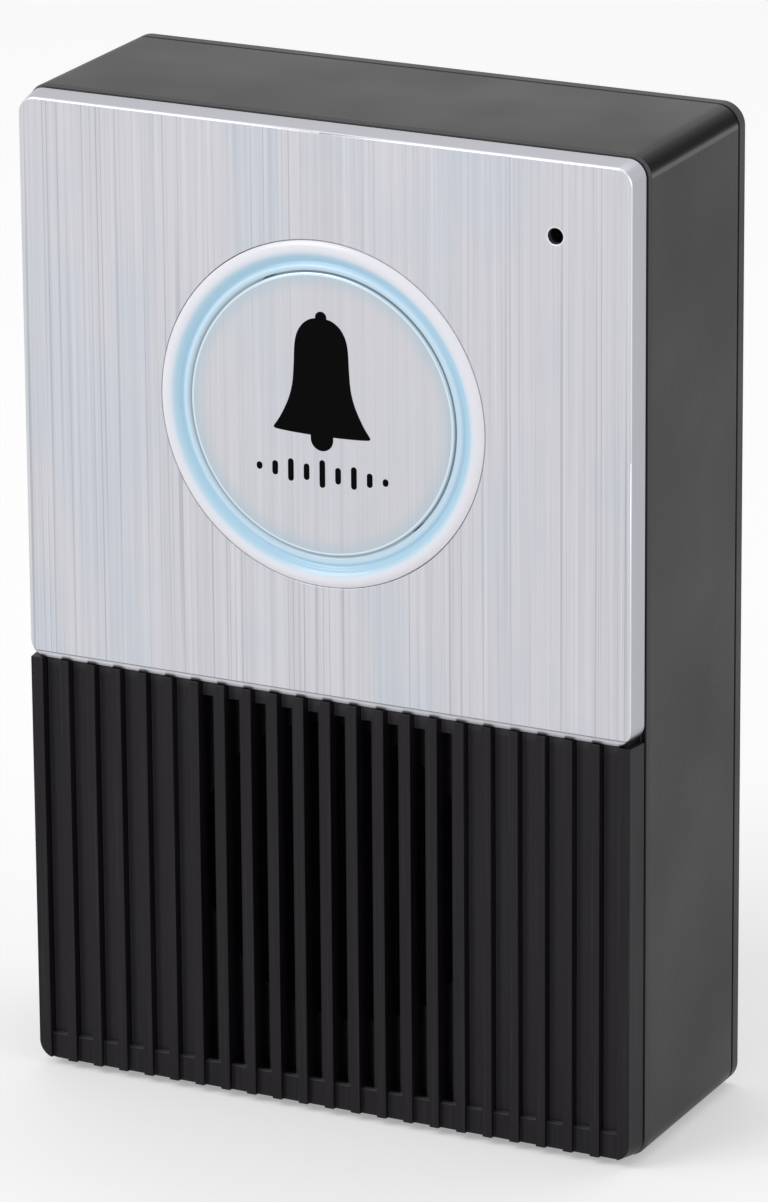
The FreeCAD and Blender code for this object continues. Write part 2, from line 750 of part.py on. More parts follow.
def grille(body):
    slots_top = lip_z - d.wall
    slots_right = slots_left + groove_pitch * d.slot_count
    pocket(
        body, "relief", d.slot_depth - d.front_depth, 0,
        rectangle(slots_left - d.rib_width, slots_right, ledge_top, slots_top),
    )
    groove_right = groove_left + groove_width
    groove = pocket(
        body, "groove", -d.front_depth, d.groove_depth - d.front_depth,
        rectangle(groove_left, groove_right, ledge_top, lip_z),
    )
    along(body, "grooves", groove, d.groove_count, groove_pitch)
    step = pocket(
        body, "step", -d.front_depth, d.ledge_depth - d.front_depth,
        rectangle(groove_left, groove_right, -d.wall, ledge_top),
    )
    along(body, "steps", step, d.groove_count, groove_pitch)
    slot = pocket(
        body, "slot", -d.front_depth, d.slot_depth - d.front_depth + d.slide,
        rectangle(slots_left, slots_left + groove_width - d.slot_side, ledge_top, slots_top),
    )
    return along(body, "slots", slot, d.slot_count, groove_pitch)


def fascia_plate():
    body = new_body("fascia_plate")
    back = back_of_front
    loft(
        body, "PartDesign::AdditiveLoft", "tray", -d.front_depth, back,
        front_shape(d.front_lean, lip_z + d.meet, d.front_corner),
        front_shape(0, lip_z + d.meet, d.front_corner),
    )
    taper = d.front_lean * (d.front_depth - d.plate_thick) / d.front_depth
    low = lip_z - d.corner * 2
    loft(
        body, "PartDesign::SubtractiveLoft", "hollow", d.plate_thick - d.front_depth, back,
        front_shape(d.plate_thick + taper, low, d.front_corner - d.plate_thick),
        front_shape(d.plate_thick, low, d.front_corner - d.plate_thick),
    )
    last = pocket(
        body, "holes", ahead, back,
        circle(0, ring_z, ring_r + d.seat),
        circle(mic_side, mic_z, d.mic_r),
    )
    sketch = new_sketch(body, "lip_sketch", "YZ_Plane", (0, 0, -d.width), [outline([
        (ahead, lip_z - d.wall),
        (d.lip_depth - d.front_depth, lip_z - d.wall),
        (d.lip_depth - d.front_depth, lip_z + d.meet),
        (-d.front_depth, lip_z + d.lip_height),
        (ahead, lip_z + d.lip_height),
    ])])
    last = feature(body, "PartDesign::Pocket", sketch, "lip", d.width * 2, True)
    dress(
        body, "PartDesign::Fillet", "face_edge", last,
        lambda edge: lies_at(edge, "y", -d.front_depth.number) and at_face_rim(edge), d.face_round,
    )
    return body


def at_face_rim(edge):
    # an edge on the outer rim of the fascia's face, apart from its lower lip
    middle = edge.valueAt((edge.FirstParameter + edge.LastParameter) / 2)
    reach = d.front_corner.number
    return abs(middle.x) > face_half.number - reach or middle.z > face_top.number - reach


def arc_radius(width, rise):
    # radius of an arc that spans this width and rises this far
    return (width * width / 4 + rise * rise) / (rise * 2)


def light_ring():
    # a lens with a flat inner rim, a hollow groove and a rounded crown, and its light guide behind
    body = new_body("light_ring")
    face = -d.front_depth
    seat_back = cap_back + d.meet
    crest = d.ring_bore + d.ring_crest
    valley = crest + d.ring_valley
    slope = (d.ring_valley - d.valley_floor) / 2
    revolve(body, "lens", ring_z, outline([
        (d.ring_bore, face + d.cap_bevel),
        (d.ring_bore + d.cap_bevel, face),
        (crest, face),
        (crest + slope, face + d.valley_depth),
        (valley - slope, face + d.valley_depth),
        (valley, face, arc_radius(ring_r - valley, d.ring_proud)),
        (ring_r, face),
        (ring_r, seat_back),
        (tube_r, seat_back),
        (tube_r, d.tube_end),
        (d.ring_bore, d.tube_end),
    ]))
    return body


def button_cap():
    body = new_body("button_cap")
    disc = pad(body, "disc", -d.front_depth, cap_back, circle(0, ring_z, cap_r))
    dress(
        body, "PartDesign::Chamfer", "disc_edge", disc,
        lambda edge: lies_at(edge, "y", -d.front_depth.number), d.cap_bevel,
    )
    return body


def button_carrier():
    # moulded push behind the metal disc: skirt, three stop lugs, stem, ribs and a spring seat
    body = new_body("button_carrier")
    skirt_bore = skirt_r - d.skirt_thick
    collar = d.spring_r + d.spring_wire / 2 + d.loose
    pad(body, "disc", cap_back, carrier_back, circle(0, ring_z, skirt_r))
    pad(
        body, "skirt", carrier_back, lug_back,
        circle(0, ring_z, skirt_r), circle(0, ring_z, skirt_bore),
    )
    pad(body, "stem", carrier_back, plunger_top - d.meet, circle(0, ring_z, d.stem_r))
    pad(
        body, "spring_seat", carrier_back, carrier_back + d.carrier_thick,
        circle(0, ring_z, collar + d.rib_thick), circle(0, ring_z, collar),
    )
    half = d.rib_thick / 2
    rib = pad(
        body, "rib", carrier_back, carrier_back + d.carrier_thick,
        rectangle(-half, half, collar + half, skirt_bore + half), middle=(0, ring_z),
    )
    around(body, "ribs", rib, d.rib_count)
    lug = pad(
        body, "lug", lug_front, lug_back,
        rectangle(-d.lug_width / 2, d.lug_width / 2, skirt_r - d.skirt_thick / 2, lug_reach),
        middle=(0, ring_z),
    )
    around(body, "lugs", lug, d.lug_count)
    return body


def biarc(start, heading, end, leaving):
    # two arcs that join two points smoothly, with a given direction at each
    chord = end - start
    bend = 1 - heading.dot(leaving)
    along_chord = chord.dot(heading + leaving)
    reach = (math.sqrt(along_chord ** 2 + 2 * bend * chord.dot(chord)) - along_chord) / (2 * bend)
    first_corner = start + heading * reach
    last_corner = end - leaving * reach
    joint = (first_corner + last_corner) * 0.5
    arcs = []
    for a, corner, b in ((start, first_corner, joint), (joint, last_corner, end)):
        weight = (b - a).Length / 2 / reach
        middle = (a + corner * (2 * weight) + b) * (1 / (2 + 2 * weight))
        arcs.append(Part.Arc(a, middle, b).toShape())
    return arcs


def button_spring():
    # a round coil between the push's disc and the board, its wire drawn with six flats
    radius = d.spring_r.number
    wire = d.spring_wire.number
    start = carrier_back.number + wire / 2 + d.meet.number
    length = board_depth.number - wire / 2 - d.meet.number - start
    steps = int(d.spring_turns.number) * 4

    def place(step):
        angle = step * math.pi / 2
        x = radius * math.cos(angle)
        z = ring_z.number + radius * math.sin(angle)
        return Vector(x, start + length * step / steps, z)

    def heading(step):
        angle = step * math.pi / 2
        rise = length / steps / (math.pi / 2)
        return Vector(-radius * math.sin(angle), rise, radius * math.cos(angle)).normalize()

    arcs = []
    for step in range(steps):
        arcs += biarc(place(step), heading(step), place(step + 1), heading(step + 1))
    across = Vector(1, 0, 0)
    over = heading(0).cross(across)
    ring = [
        place(0)
        + across * (wire / 2 * math.cos(math.radians(angle)))
        + over * (wire / 2 * math.sin(math.radians(angle)))
        for angle in range(0, 360, 60)
    ]
    section = Part.makePolygon(ring + [ring[0]])
    coil = doc.addObject("Part::Feature", "button_spring")
    coil.Label = "button_spring"
    coil.Shape = Part.Wire(arcs).makePipeShell([section], True, False)
    coil.Placement = FreeCAD.Placement(Vector(0, seam_y.number, 0), FreeCAD.Rotation())
    return coil


def switch(label, side, height, front, back, bore_start, bore_end):
    half = d.switch_side / 2
    body = new_body(label)
    pad(
        body, "case", front, back,
        rounded(side - half, side + half, height - half, height + half, d.edge_break),
    )
    pocket(body, "bore", bore_start, bore_end, circle(side, height, d.plunger_r + d.seat))
    return body


def plunger(label, side, height, front, back):
    body = new_body(label)
    pad(body, "pin", front, back, circle(side, height, d.plunger_r))
    return body


def bell_switch():
    front = board_depth - d.switch_thick
    bottom = front + d.switch_bore
    case = switch("bell_switch", as_size(0), ring_z, front, board_depth, front, bottom)
    pin = plunger("bell_switch_plunger", 0, ring_z, plunger_top, bottom - d.travel - d.seat)
    return case, pin


def pairing_switch():
    back = board_back + d.switch_thick
    bottom = back - d.switch_bore
    case = switch("pairing_switch", pair_side, pair_height, board_back, back, bottom, back)
    end = back + d.plunger_proud
    pin = plunger("pairing_button", pair_side, pair_height, bottom + d.pair_travel + d.seat, end)
    return case, pin


def main_board():
    body = new_body("main_board")
    pad(
        body, "board", board_depth, board_back,
        rounded(-board_half, board_half, board_foot, board_high, d.inner_corner),
    )
    pocket(body, "holes", board_depth, board_back, *circles(board_screws, d.pilot_r + d.slide))
    return body


def ring_lamps():
    # lamps on the board, right behind the end of the light guide and clear of the stop lugs
    body = new_body("ring_lamps")
    count = d.lug_count * d.lamp_count
    angle = math.radians(90 - 180 / count.number)
    middle = (d.ring_bore + tube_r) / 2
    side = middle * math.cos(angle)
    height = middle * math.sin(angle)
    half = d.lamp_side / 2
    lamp = pad(
        body, "lamp", board_depth - d.lamp_thick, board_depth,
        rectangle(side - half, side + half, height - half, height + half), middle=(0, ring_z),
    )
    around(body, "lamps", lamp, count)
    return body


def microphone():
    boot = new_body("microphone_boot")
    seat_start = board_depth - d.capsule_thick - d.front_wall
    pad(boot, "boot", d.front_wall, board_depth, circle(mic_side, mic_z, d.capsule_r + d.boot_wall))
    pocket(
        boot, "capsule_seat", seat_start, board_depth,
        circle(mic_side, mic_z, d.capsule_r + d.meet),
    )
    pocket(boot, "sound_hole", d.front_wall, seat_start, circle(mic_side, mic_z, d.mic_r + d.slide * 2))
    capsule = new_body("microphone_capsule")
    pad(
        capsule, "can", seat_start, seat_start + d.capsule_thick,
        circle(mic_side, mic_z, d.capsule_r),
    )
    return boot, capsule


def radio_shield():
    # a tin can over the radio, open towards the board
    body = new_body("radio_shield")
    wall = d.contact_thick
    left = d.head_r + d.loose - board_screw_side
    right = left + d.shield_width
    high = strip_low - d.edge_break * 2
    low = high - d.shield_height
    back = board_back + d.shield_deep
    pad(body, "can", board_back, back, rounded(left, right, low, high, d.edge_break * 2))
    pocket(
        body, "inside", board_back, back - wall,
        rounded(left + wall, right - wall, low + wall, high - wall, d.edge_break),
    )
    return body


def board_parts():
    # a processor beside the radio, and a capacitor and a connector in line with the pairing button
    chip = new_body("processor_chip")
    high = strip_low - d.edge_break * 2
    left = d.switch_side
    pad(
        chip, "chip", board_back, board_back + d.chip_thick,
        rectangle(left, left + d.chip_side, high - d.chip_side, high),
    )
    can = new_body("supply_capacitor")
    can_end = board_back + d.can_tall
    tin = pad(can, "can", board_back, can_end, circle(-pair_side, pair_height, d.can_r))
    dress(
        can, "PartDesign::Chamfer", "can_edge", tin,
        lambda edge: lies_at(edge, "y", can_end.number), d.edge_break,
    )
    plug = new_body("battery_connector")
    half = d.plug_width / 2
    tall = d.plug_height / 2
    mouth = board_back + d.plug_deep
    wall = d.plug_wall
    low = pair_height - tall
    high = pair_height + tall
    pad(plug, "shroud", board_back, mouth, rectangle(-half, half, low, high))
    pocket(
        plug, "mouth", board_back + wall, mouth,
        rectangle(wall - half, half - wall, low + wall, high - wall),
    )
    return chip, can, plug


def antenna():
    # a bent strip on two legs, near the top of the board
    body = new_body("antenna")
    thick = d.contact_thick
    back = board_back + d.strip_rise
    left = -d.strip_length / 2
    leg = left + d.leg_pitch
    pad_up(body, "strip", strip_low, strip_low + d.strip_width, outline([
        (left, board_back),
        (left + thick, board_back),
        (left + thick, back - thick),
        (leg, back - thick),
        (leg, board_back),
        (leg + thick, board_back),
        (leg + thick, back - thick),
        (left + d.strip_length, back - thick),
        (left + d.strip_length, back),
        (left, back),
    ]))
    return body


def screws(label, places, head_front, thread_front):
    # each screw: a head on its seat and a shank towards the front
    body = new_body(label)
    pad(body, "heads", head_front, head_front + d.head_thick, *circles(places, d.head_r))
    pad(body, "shanks", thread_front, head_front, *circles(places, d.pilot_r - d.meet))
    return body


def speaker():
    z = d.speaker_height
    window = d.speaker_window + d.slide
    cloth_r = speaker_r - d.slide
    screen = new_body("speaker_screen")
    pad(screen, "cloth", d.front_wall, d.front_wall + d.screen_thick, circle(0, z, cloth_r))
    gasket = new_body("speaker_gasket")
    pad(
        gasket, "foam", d.front_wall + d.screen_thick, flange_front,
        circle(0, z, cloth_r), circle(0, z, window),
    )
    back_plate = magnet_back - d.magnet_thick
    frame = new_body("speaker_frame")
    flange_r = d.speaker_window + d.speaker_rim / 2
    basket_r = d.magnet_r + d.sheet_thick * 2
    coil_hole = d.coil_r + d.cone_thick + d.slide
    revolve(frame, "basket", z, outline([
        (flange_r, flange_front),
        (speaker_r, flange_front),
        (speaker_r, flange_back),
        (flange_r + d.sheet_thick, flange_back),
        (basket_r, back_plate),
        (coil_hole, back_plate),
        (coil_hole, back_plate - d.sheet_thick),
        (basket_r - d.sheet_thick, back_plate - d.sheet_thick),
        (flange_r, flange_front + d.cone_thick + d.seat),
    ]))
    magnet = new_body("speaker_magnet")
    pad(magnet, "pot", back_plate, magnet_back, circle(0, z, d.magnet_r))
    cone = speaker_cone(z, flange_r - d.meet, window - d.seat, back_plate - d.slide)
    clamps = new_body("speaker_screws")
    washer_back = flange_back + d.washer_thick
    pad(clamps, "washers", flange_back, washer_back, *circles(speaker_screws, d.washer_r))
    pad(clamps, "heads", washer_back, washer_back + d.head_thick, *circles(speaker_screws, d.head_r))
    pad(
        clamps, "shanks", d.front_wall, flange_back,
        *circles(speaker_screws, d.pilot_r - d.meet),
    )
    return screen, gasket, frame, magnet, cone, clamps


def speaker_cone(z, edge_r, roll_r, coil_end):
    # dome, sloping membrane, soft roll and glued edge, with the voice coil behind
    cone = new_body("speaker_cone")
    thick = d.cone_thick
    front = flange_front + d.meet
    back = front + thick
    slope_r = roll_r - d.roll_width
    roll_top = roll_r - d.roll_width / 2
    deep = d.cone_drop
    top = deep - d.dome_rise
    revolve(cone, "membrane", z, outline([
        (0, front + top),
        (d.coil_r / 2, front + top),
        (d.coil_r, front + deep),
        (slope_r, front),
        (roll_top, front - d.roll_rise),
        (roll_r, front),
        (edge_r, front),
        (edge_r, back),
        (roll_r, back),
        (roll_top, back - d.roll_rise),
        (slope_r, back),
        (d.coil_r + thick, back + deep),
        (d.coil_r + thick, coil_end),
        (d.coil_r, coil_end),
        (d.coil_r, back + deep),
        (d.coil_r / 2, back + top),
        (0, back + top),
    ]))
    return cone


def cell_heights():
    return [first_cell + cell_pitch * i for i in range(int(d.cell_count.number))]


def battery_tray():
    body = new_body("battery_tray")
    pad(
        body, "floor", tray_depth, tray_back,
        rounded(-tray_outer, tray_outer, tray_low, tray_high, d.inner_corner),
    )
    pocket(
        body, "bay", tray_inside, tray_back,
        rectangle(-tray_half, tray_half, tray_low + d.tray_wall, tray_high - d.tray_wall),
    )
    ear_back = tray_depth + d.head_thick
    for name, side in (("left_ears", -1), ("right_ears", 1)):
        shapes = []
        for height in (tray_low + ear_inset, tray_high - ear_inset):
            near = side * (tray_outer - d.tray_wall / 2)
            far = side * (ear_side + d.boss_r)
            left, right = (far, near) if side < 0 else (near, far)
            shapes.append(rectangle(left, right, height - d.boss_r, height + d.boss_r))
        pad(body, name, tray_depth, ear_back, *shapes)
    pocket(body, "ear_holes", tray_depth, ear_back, *circles(tray_screws, d.pilot_r + d.slide))
    return body


def battery_cells():
    # round cells side by side, each turned end for end to its neighbour
    body = new_body("battery_cells")
    tip = tray_half - d.contact_thick - d.meet
    can = d.cell_length - d.nub_length
    heights = cell_heights()
    for name, side, picked in (("even", 1, heights[0::2]), ("odd", -1, heights[1::2])):
        if not picked:
            continue
        nub_end = side * tip
        shoulder = nub_end - side * d.nub_length
        other = shoulder - side * can
        low, high = (other, shoulder) if side > 0 else (shoulder, other)
        pad_right(body, name + "_cans", low, high, *[circle(cell_depth, z, d.cell_r) for z in picked])
        low, high = (shoulder, nub_end) if side > 0 else (nub_end, shoulder)
        pad_right(body, name + "_nubs", low, high, *[circle(cell_depth, z, d.nub_r) for z in picked])
    return body


def battery_contacts():
    # flat strips at the plus ends, bowed ones at the minus ends
    flat = new_body("battery_contacts")
    sprung = new_body("battery_springs")
    half = d.contact_width / 2
    low = cell_depth - half
    high = cell_depth + half
    wall = d.contact_thick
    bow = d.contact_bow
    for i, z in enumerate(cell_heights()):
        side = 1 if i % 2 == 0 else -1
        plus = side * tray_half
        near = plus - side * wall
        left, right = (near, plus) if side > 0 else (plus, near)
        pad_up(flat, f"strip_{i}", z - half, z + half, rectangle(left, right, low, high))
        minus = -side * tray_half
        pad_up(sprung, f"bow_{i}", z - half, z + half, outline([
            (minus, low),
            (minus + side * wall, low),
            (minus + side * bow, cell_depth - wall),
            (minus + side * bow, cell_depth + wall),
            (minus + side * wall, high),
            (minus, high),
            (minus, high - wall * 2),
            (minus + side * (bow - wall), cell_depth),
            (minus, low + wall * 2),
        ]))
    return flat, sprung


def seals():
    front = new_body("front_seal")
    inset = d.seal_inset + d.meet
    pad(
        front, "cord", 0, d.seal_groove,
        frame_shape(inset, d.corner - inset),
        frame_shape(d.seal_inset + d.seal_width - d.meet, d.seal_width / 2),
    )
    rear = new_body("rear_seal")
    outer = d.edge_break + d.meet
    pad(
        rear, "cord", rim, plate_front + d.rear_groove,
        frame_shape(outer, d.corner - outer),
        frame_shape(d.edge_break + d.seal_width - d.meet, d.seal_width),
    )
    return front, rear


def rear_cover():
    # the wall plate: rim, tongues, lock tab and four screw holes
    body = new_body("rear_cover")
    pad(body, "plate", plate_front, plate_back, frame_shape(0, d.corner))
    pocket(
        body, "seal_groove", plate_front, plate_front + d.rear_groove,
        frame_shape(d.edge_break, d.corner - d.edge_break),
        frame_shape(d.edge_break + d.seal_width, d.seal_width),
    )
    start = rim - d.spigot_depth
    outer = d.wall + d.loose
    pad(
        body, "spigot", start, plate_front,
        frame_shape(outer, d.inner_corner - d.loose),
        frame_shape(outer + d.spigot_thick, d.inner_corner / 2),
    )
    high = inner_high - d.loose
    low = high - d.tongue_thick
    half = d.tongue_width / 2
    pad(body, "tongues", start - d.tongue_reach, plate_front, *[
        rectangle(side * d.tongue_side - half, side * d.tongue_side + half, low, high)
        for side in (-1, 1)
    ])
    pad(
        body, "lock_tab", plate_front - d.tab_reach, plate_front,
        rectangle(-d.tab_width / 2, d.tab_width / 2, tab_low, tab_high),
    )
    pocket_up(body, "lock_bore", tab_low, tab_high, circle(0, lock_depth, d.lock_r + d.meet))
    pad(body, "pads", plate_front - d.pad_thick, plate_front, *circles(wall_holes, d.pad_r))
    last = pocket(
        body, "wall_holes", plate_front - d.pad_thick, plate_back, *circles(wall_holes, d.hole_r),
    )
    dress(
        body, "PartDesign::Chamfer", "rear_edge", last,
        lambda edge: lies_at(edge, "y", plate_back.number) and on_outside(edge), d.edge_break,
    )
    return body


def lock_screw():
    # enters from below, with a hexagon socket in its head
    body = new_body("lock_screw")
    under = d.lock_recess
    key = d.socket_r
    pad_up(body, "head", under - d.lock_head, under, circle(0, lock_depth, d.lock_head_r))
    pad_up(body, "shank", under, tab_high, circle(0, lock_depth, d.lock_r))
    corners = [math.radians(60 * i) for i in range(6)]
    pocket_up(
        body, "socket", under - d.lock_head, under,
        outline([(key * math.cos(a), lock_depth + key * math.sin(a)) for a in corners]),
    )
    return body


def failed(item):
    return [state for state in item.State if state in ("Invalid", "Error")]


def check_and_write(pieces):
    doc.recompute()
    for item in doc.Objects:
        if failed(item):
            raise RuntimeError(f"{item.Name} failed: {item.State}")
    os.makedirs("parts", exist_ok=True)
    for piece in pieces:
        shape = piece.Shape
        if shape.isNull() or not shape.isValid() or not shape.Solids:
            raise RuntimeError(f"{piece.Label} has no valid solid")
        print(f"{piece.Label}: {len(shape.Solids)} solid(s), {shape.Volume:.1f} mm3")
        shape.exportStep(f"parts/{piece.Label}.step")


pieces = [main_housing(), front_cover(), fascia_plate(), light_ring(), button_cap(), button_carrier()]
pieces += [button_spring(), *bell_switch(), *pairing_switch(), main_board(), ring_lamps()]
pieces += [*microphone(), radio_shield(), *board_parts(), antenna(), *speaker()]
pieces += [battery_tray(), battery_cells(), *battery_contacts(), *seals(), rear_cover(), lock_screw()]
pieces += [
    screws("front_screws", front_screws, d.front_wall, d.slide - d.screw_reach),
    screws("board_screws", board_screws, board_back, board_depth - d.bite + d.seat),
    screws("tray_screws", tray_screws, tray_depth + d.head_thick, tray_depth - d.bite + d.seat),
]
check_and_write(pieces)
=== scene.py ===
import json
import math

import bmesh
import bpy
import numpy as np
from mathutils import Matrix, Vector

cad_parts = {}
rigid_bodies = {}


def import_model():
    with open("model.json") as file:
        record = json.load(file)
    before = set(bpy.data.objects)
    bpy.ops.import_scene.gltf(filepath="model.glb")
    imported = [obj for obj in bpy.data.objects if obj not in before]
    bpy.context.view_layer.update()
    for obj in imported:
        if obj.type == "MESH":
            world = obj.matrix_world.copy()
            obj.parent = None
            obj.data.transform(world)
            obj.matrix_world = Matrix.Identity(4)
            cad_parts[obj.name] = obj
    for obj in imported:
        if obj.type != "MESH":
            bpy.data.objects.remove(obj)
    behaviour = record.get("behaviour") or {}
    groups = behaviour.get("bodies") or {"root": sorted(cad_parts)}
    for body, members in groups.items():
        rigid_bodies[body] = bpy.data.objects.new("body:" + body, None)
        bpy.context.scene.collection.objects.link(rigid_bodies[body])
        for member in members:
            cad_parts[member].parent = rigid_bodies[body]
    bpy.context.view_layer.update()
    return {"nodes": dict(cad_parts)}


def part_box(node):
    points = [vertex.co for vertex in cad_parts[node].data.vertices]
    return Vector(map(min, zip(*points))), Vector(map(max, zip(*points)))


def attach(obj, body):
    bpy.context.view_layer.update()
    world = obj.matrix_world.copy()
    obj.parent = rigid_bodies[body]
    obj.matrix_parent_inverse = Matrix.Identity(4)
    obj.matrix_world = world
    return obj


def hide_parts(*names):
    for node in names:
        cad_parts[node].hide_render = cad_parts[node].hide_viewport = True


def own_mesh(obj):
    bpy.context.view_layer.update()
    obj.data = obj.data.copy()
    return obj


# Dresses the battery door station: brushed fascia, lit ring, bell push, ribbed speaker grille,
# dark moulded housing and what shows inside once the wall plate is off.

for startItem in list(bpy.data.objects):  # Blender's own start-up objects
    bpy.data.objects.remove(startItem)

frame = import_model()
nodes = frame["nodes"]
mm = 0.001
print("frame loaded:", len(nodes), "CAD nodes")


def addObject(name, data):
    # a new object, linked to the scene
    added = bpy.data.objects.new(name, data)
    bpy.context.scene.collection.objects.link(added)
    return added


# the camera, fitted to the straight edges and the ring of the photograph

cameraSet = {
    "lens": 225.56,  # mm, on the sensor's long side
    "sensor": 36.0,
    "clip": (0.05, 50.0),  # metres
    "azimuth": 26.487,
    "elevation": 18.566,
    "roll": -0.444,
    "distance": 981.274 * mm,
    "aim": (0.0, 0.25 * mm, 67.0 * mm),
    "slide": (0.298 * mm, -0.961 * mm),  # right and up, in the picture
}


def placeCamera(values):
    # the camera looks back along its own third axis; the first two axes are turned by the roll
    turn, lift, roll = (math.radians(values[key]) for key in ("azimuth", "elevation", "roll"))
    back = Vector((
        math.sin(turn) * math.cos(lift), -math.cos(turn) * math.cos(lift), math.sin(lift),
    ))
    level = Vector((math.cos(turn), math.sin(turn), 0.0))
    upright = back.cross(level)
    right = level * math.cos(roll) + upright * math.sin(roll)
    up = upright * math.cos(roll) - level * math.sin(roll)
    place = Vector(values["aim"]) + back * values["distance"]
    place += right * values["slide"][0] + up * values["slide"][1]
    lens = bpy.data.cameras.new("viewCamera")
    lens.lens = values["lens"]
    lens.sensor_width = values["sensor"]
    lens.clip_start, lens.clip_end = values["clip"]
    camera = addObject("viewCamera", lens)
    axes = Matrix((right, up, back)).transposed().to_4x4()
    camera.matrix_world = Matrix.Translation(place) @ axes
    bpy.context.scene.camera = camera


placeCamera(cameraSet)
print("camera placed")


# places shared by several pieces, in mm, and what several shapes and finishes share

middleOfRing = 96.0
seamToRow = -12.55  # from the middle of the depth to the front seam, from which depths are counted
faceDepth = -3.9  # of the fascia's face
mergeWithin = 0.002  # corners nearer than this are one
flatAngle = 0.4  # degrees, up to which neighbouring triangles become one face again
sharpAngle = 20  # degrees, where a surface breaks instead of running round
threadScale = 1000 * 2 * math.pi / 20  # over a spacing in mm, the scale of a wave that repeats so
noiseLow, noiseHigh = 0.3, 0.7  # between which most of a noise lies


# small tools for materials

def toLinear(hexColour):
    # sRGB hex to linear: below 0.04045 divide by 12.92, above it ((c + 0.055) / 1.055) ^ 2.4
    parts = [int(hexColour[start:start + 2], 16) / 255 for start in (1, 3, 5)]
    linear = [p / 12.92 if p <= 0.04045 else ((p + 0.055) / 1.055) ** 2.4 for p in parts]
    return (*linear, 1.0)


def addNode(tree, kind, settings=None, links=None, feeds=None):
    # one node: small-letter settings are its fields, "stops" the colours along its ramp and the
    # others its sockets; links come in by socket, feeds are the sockets that its outputs go to
    node = tree.nodes.new(kind)
    for key, value in (settings or {}).items():
        if key == "stops":
            while len(node.color_ramp.elements) < len(value):
                node.color_ramp.elements.new(0.5)
            for element, (place, colour) in zip(node.color_ramp.elements, value):
                element.position = place
                element.color = toLinear(colour)
        elif isinstance(key, str) and key[0].islower():
            setattr(node, key, value)
        else:
            node.inputs[key].default_value = value
    for key, source in (links or {}).items():
        tree.links.new(source, node.inputs[key])
    for key, target in (feeds or {}).items():
        tree.links.new(node.outputs[key], target)
    return node


def startMaterial(name, sockets):
    # a material with one Principled shader; gives it, its tree, its shader and Object coordinates
    material = bpy.data.materials.new(name)
    material.use_nodes = True
    tree = material.node_tree
    tree.nodes.clear()
    shader = addNode(tree, "ShaderNodeBsdfPrincipled", sockets)
    addNode(tree, "ShaderNodeOutputMaterial", None, {"Surface": shader.outputs["BSDF"]})
    place = addNode(tree, "ShaderNodeTexCoord")
    return material, tree, shader, place.outputs["Object"]


def radiusFrom(tree, place, across, up):
    # distance in the plane of the face from a point of it that is given in mm, in metres
    centred = addNode(tree, "ShaderNodeMapping", {
        "Location": (-across * mm, 0.0, -up * mm), "Scale": (1.0, 0.0, 1.0),
    }, {0: place})
    length = addNode(tree, "ShaderNodeVectorMath", {"operation": "LENGTH"}, {
        0: centred.outputs[0],
    })
    return length.outputs["Value"]


def rampAlong(tree, length, stops):
    # the colour of the stops, whose places are in mm, along a length in metres
    low, high = stops[0][0], stops[-1][0]
    along = addNode(tree, "ShaderNodeMapRange", {"From Min": low * mm, "From Max": high * mm}, {
        0: length,
    })
    shares = [((place - low) / (high - low), colour) for place, colour in stops]
    ramp = addNode(tree, "ShaderNodeValToRGB", {"stops": shares}, {0: along.outputs[0]})
    return ramp.outputs[0]


def drawnNoise(tree, place, width, length, detail):
    # a noise drawn out upright, its spots so wide and so long in mm
    laid = addNode(tree, "ShaderNodeMapping", {
        "Scale": (1000 / width, 1000 / width, 1000 / length),
    }, {0: place})
    noise = addNode(tree, "ShaderNodeTexNoise", {"Scale": 1.0, "Detail": detail}, {
        0: laid.outputs[0],
    })
    return noise.outputs[0]


def tinted(tree, colour, tint, shares, most=1.0):
    # a tint over the colour as far as the product of the shares goes; gives that product too
    covered = addNode(tree, "ShaderNodeMath", {"operation": "MULTIPLY", 1: most}, {0: shares[0]})
    for share in shares[1:]:
        covered = addNode(tree, "ShaderNodeMath", {"operation": "MULTIPLY"}, {
            0: covered.outputs[0], 1: share,
        })
    over = addNode(tree, "ShaderNodeMix", {"data_type": "RGBA", 7: toLinear(tint)}, {
        0: covered.outputs[0], 6: colour,
    })
    return over.outputs[2], covered.outputs[0]


def glossAndRelief(tree, shader, texture, roughness, relief):
    # one texture gives the roughness, between two values, and the relief
    smoother, rougher = roughness
    addNode(tree, "ShaderNodeMapRange", {
        "From Min": noiseLow, "From Max": noiseHigh, "To Min": smoother, "To Max": rougher,
    }, {0: texture}, {0: shader.inputs["Roughness"]})
    addNode(tree, "ShaderNodeBump", {"Distance": relief * mm}, {"Height": texture}, {
        0: shader.inputs["Normal"],
    })


def tintAndRelief(tree, shader, texture, values):
    # one texture gives the colour, along the tints, and the relief
    addNode(tree, "ShaderNodeValToRGB", {"stops": values["tints"]}, {0: texture}, {
        0: shader.inputs["Base Color"],
    })
    addNode(tree, "ShaderNodeBump", {"Distance": values["relief"] * mm}, {"Height": texture}, {
        0: shader.inputs["Normal"],
    })


def crossedThreads(tree, place, spacing, distortion=0.0):
    # a square weave: the product of one wave across and one up
    threads = [addNode(tree, "ShaderNodeTexWave", {
        "bands_direction": direction, "Scale": threadScale / spacing, "Distortion": distortion,
    }, {0: place}).outputs["Fac"] for direction in ("X", "Z")]
    weave = addNode(tree, "ShaderNodeMath", {"operation": "MULTIPLY"}, dict(enumerate(threads)))
    return weave.outputs[0]


# small tools for shapes

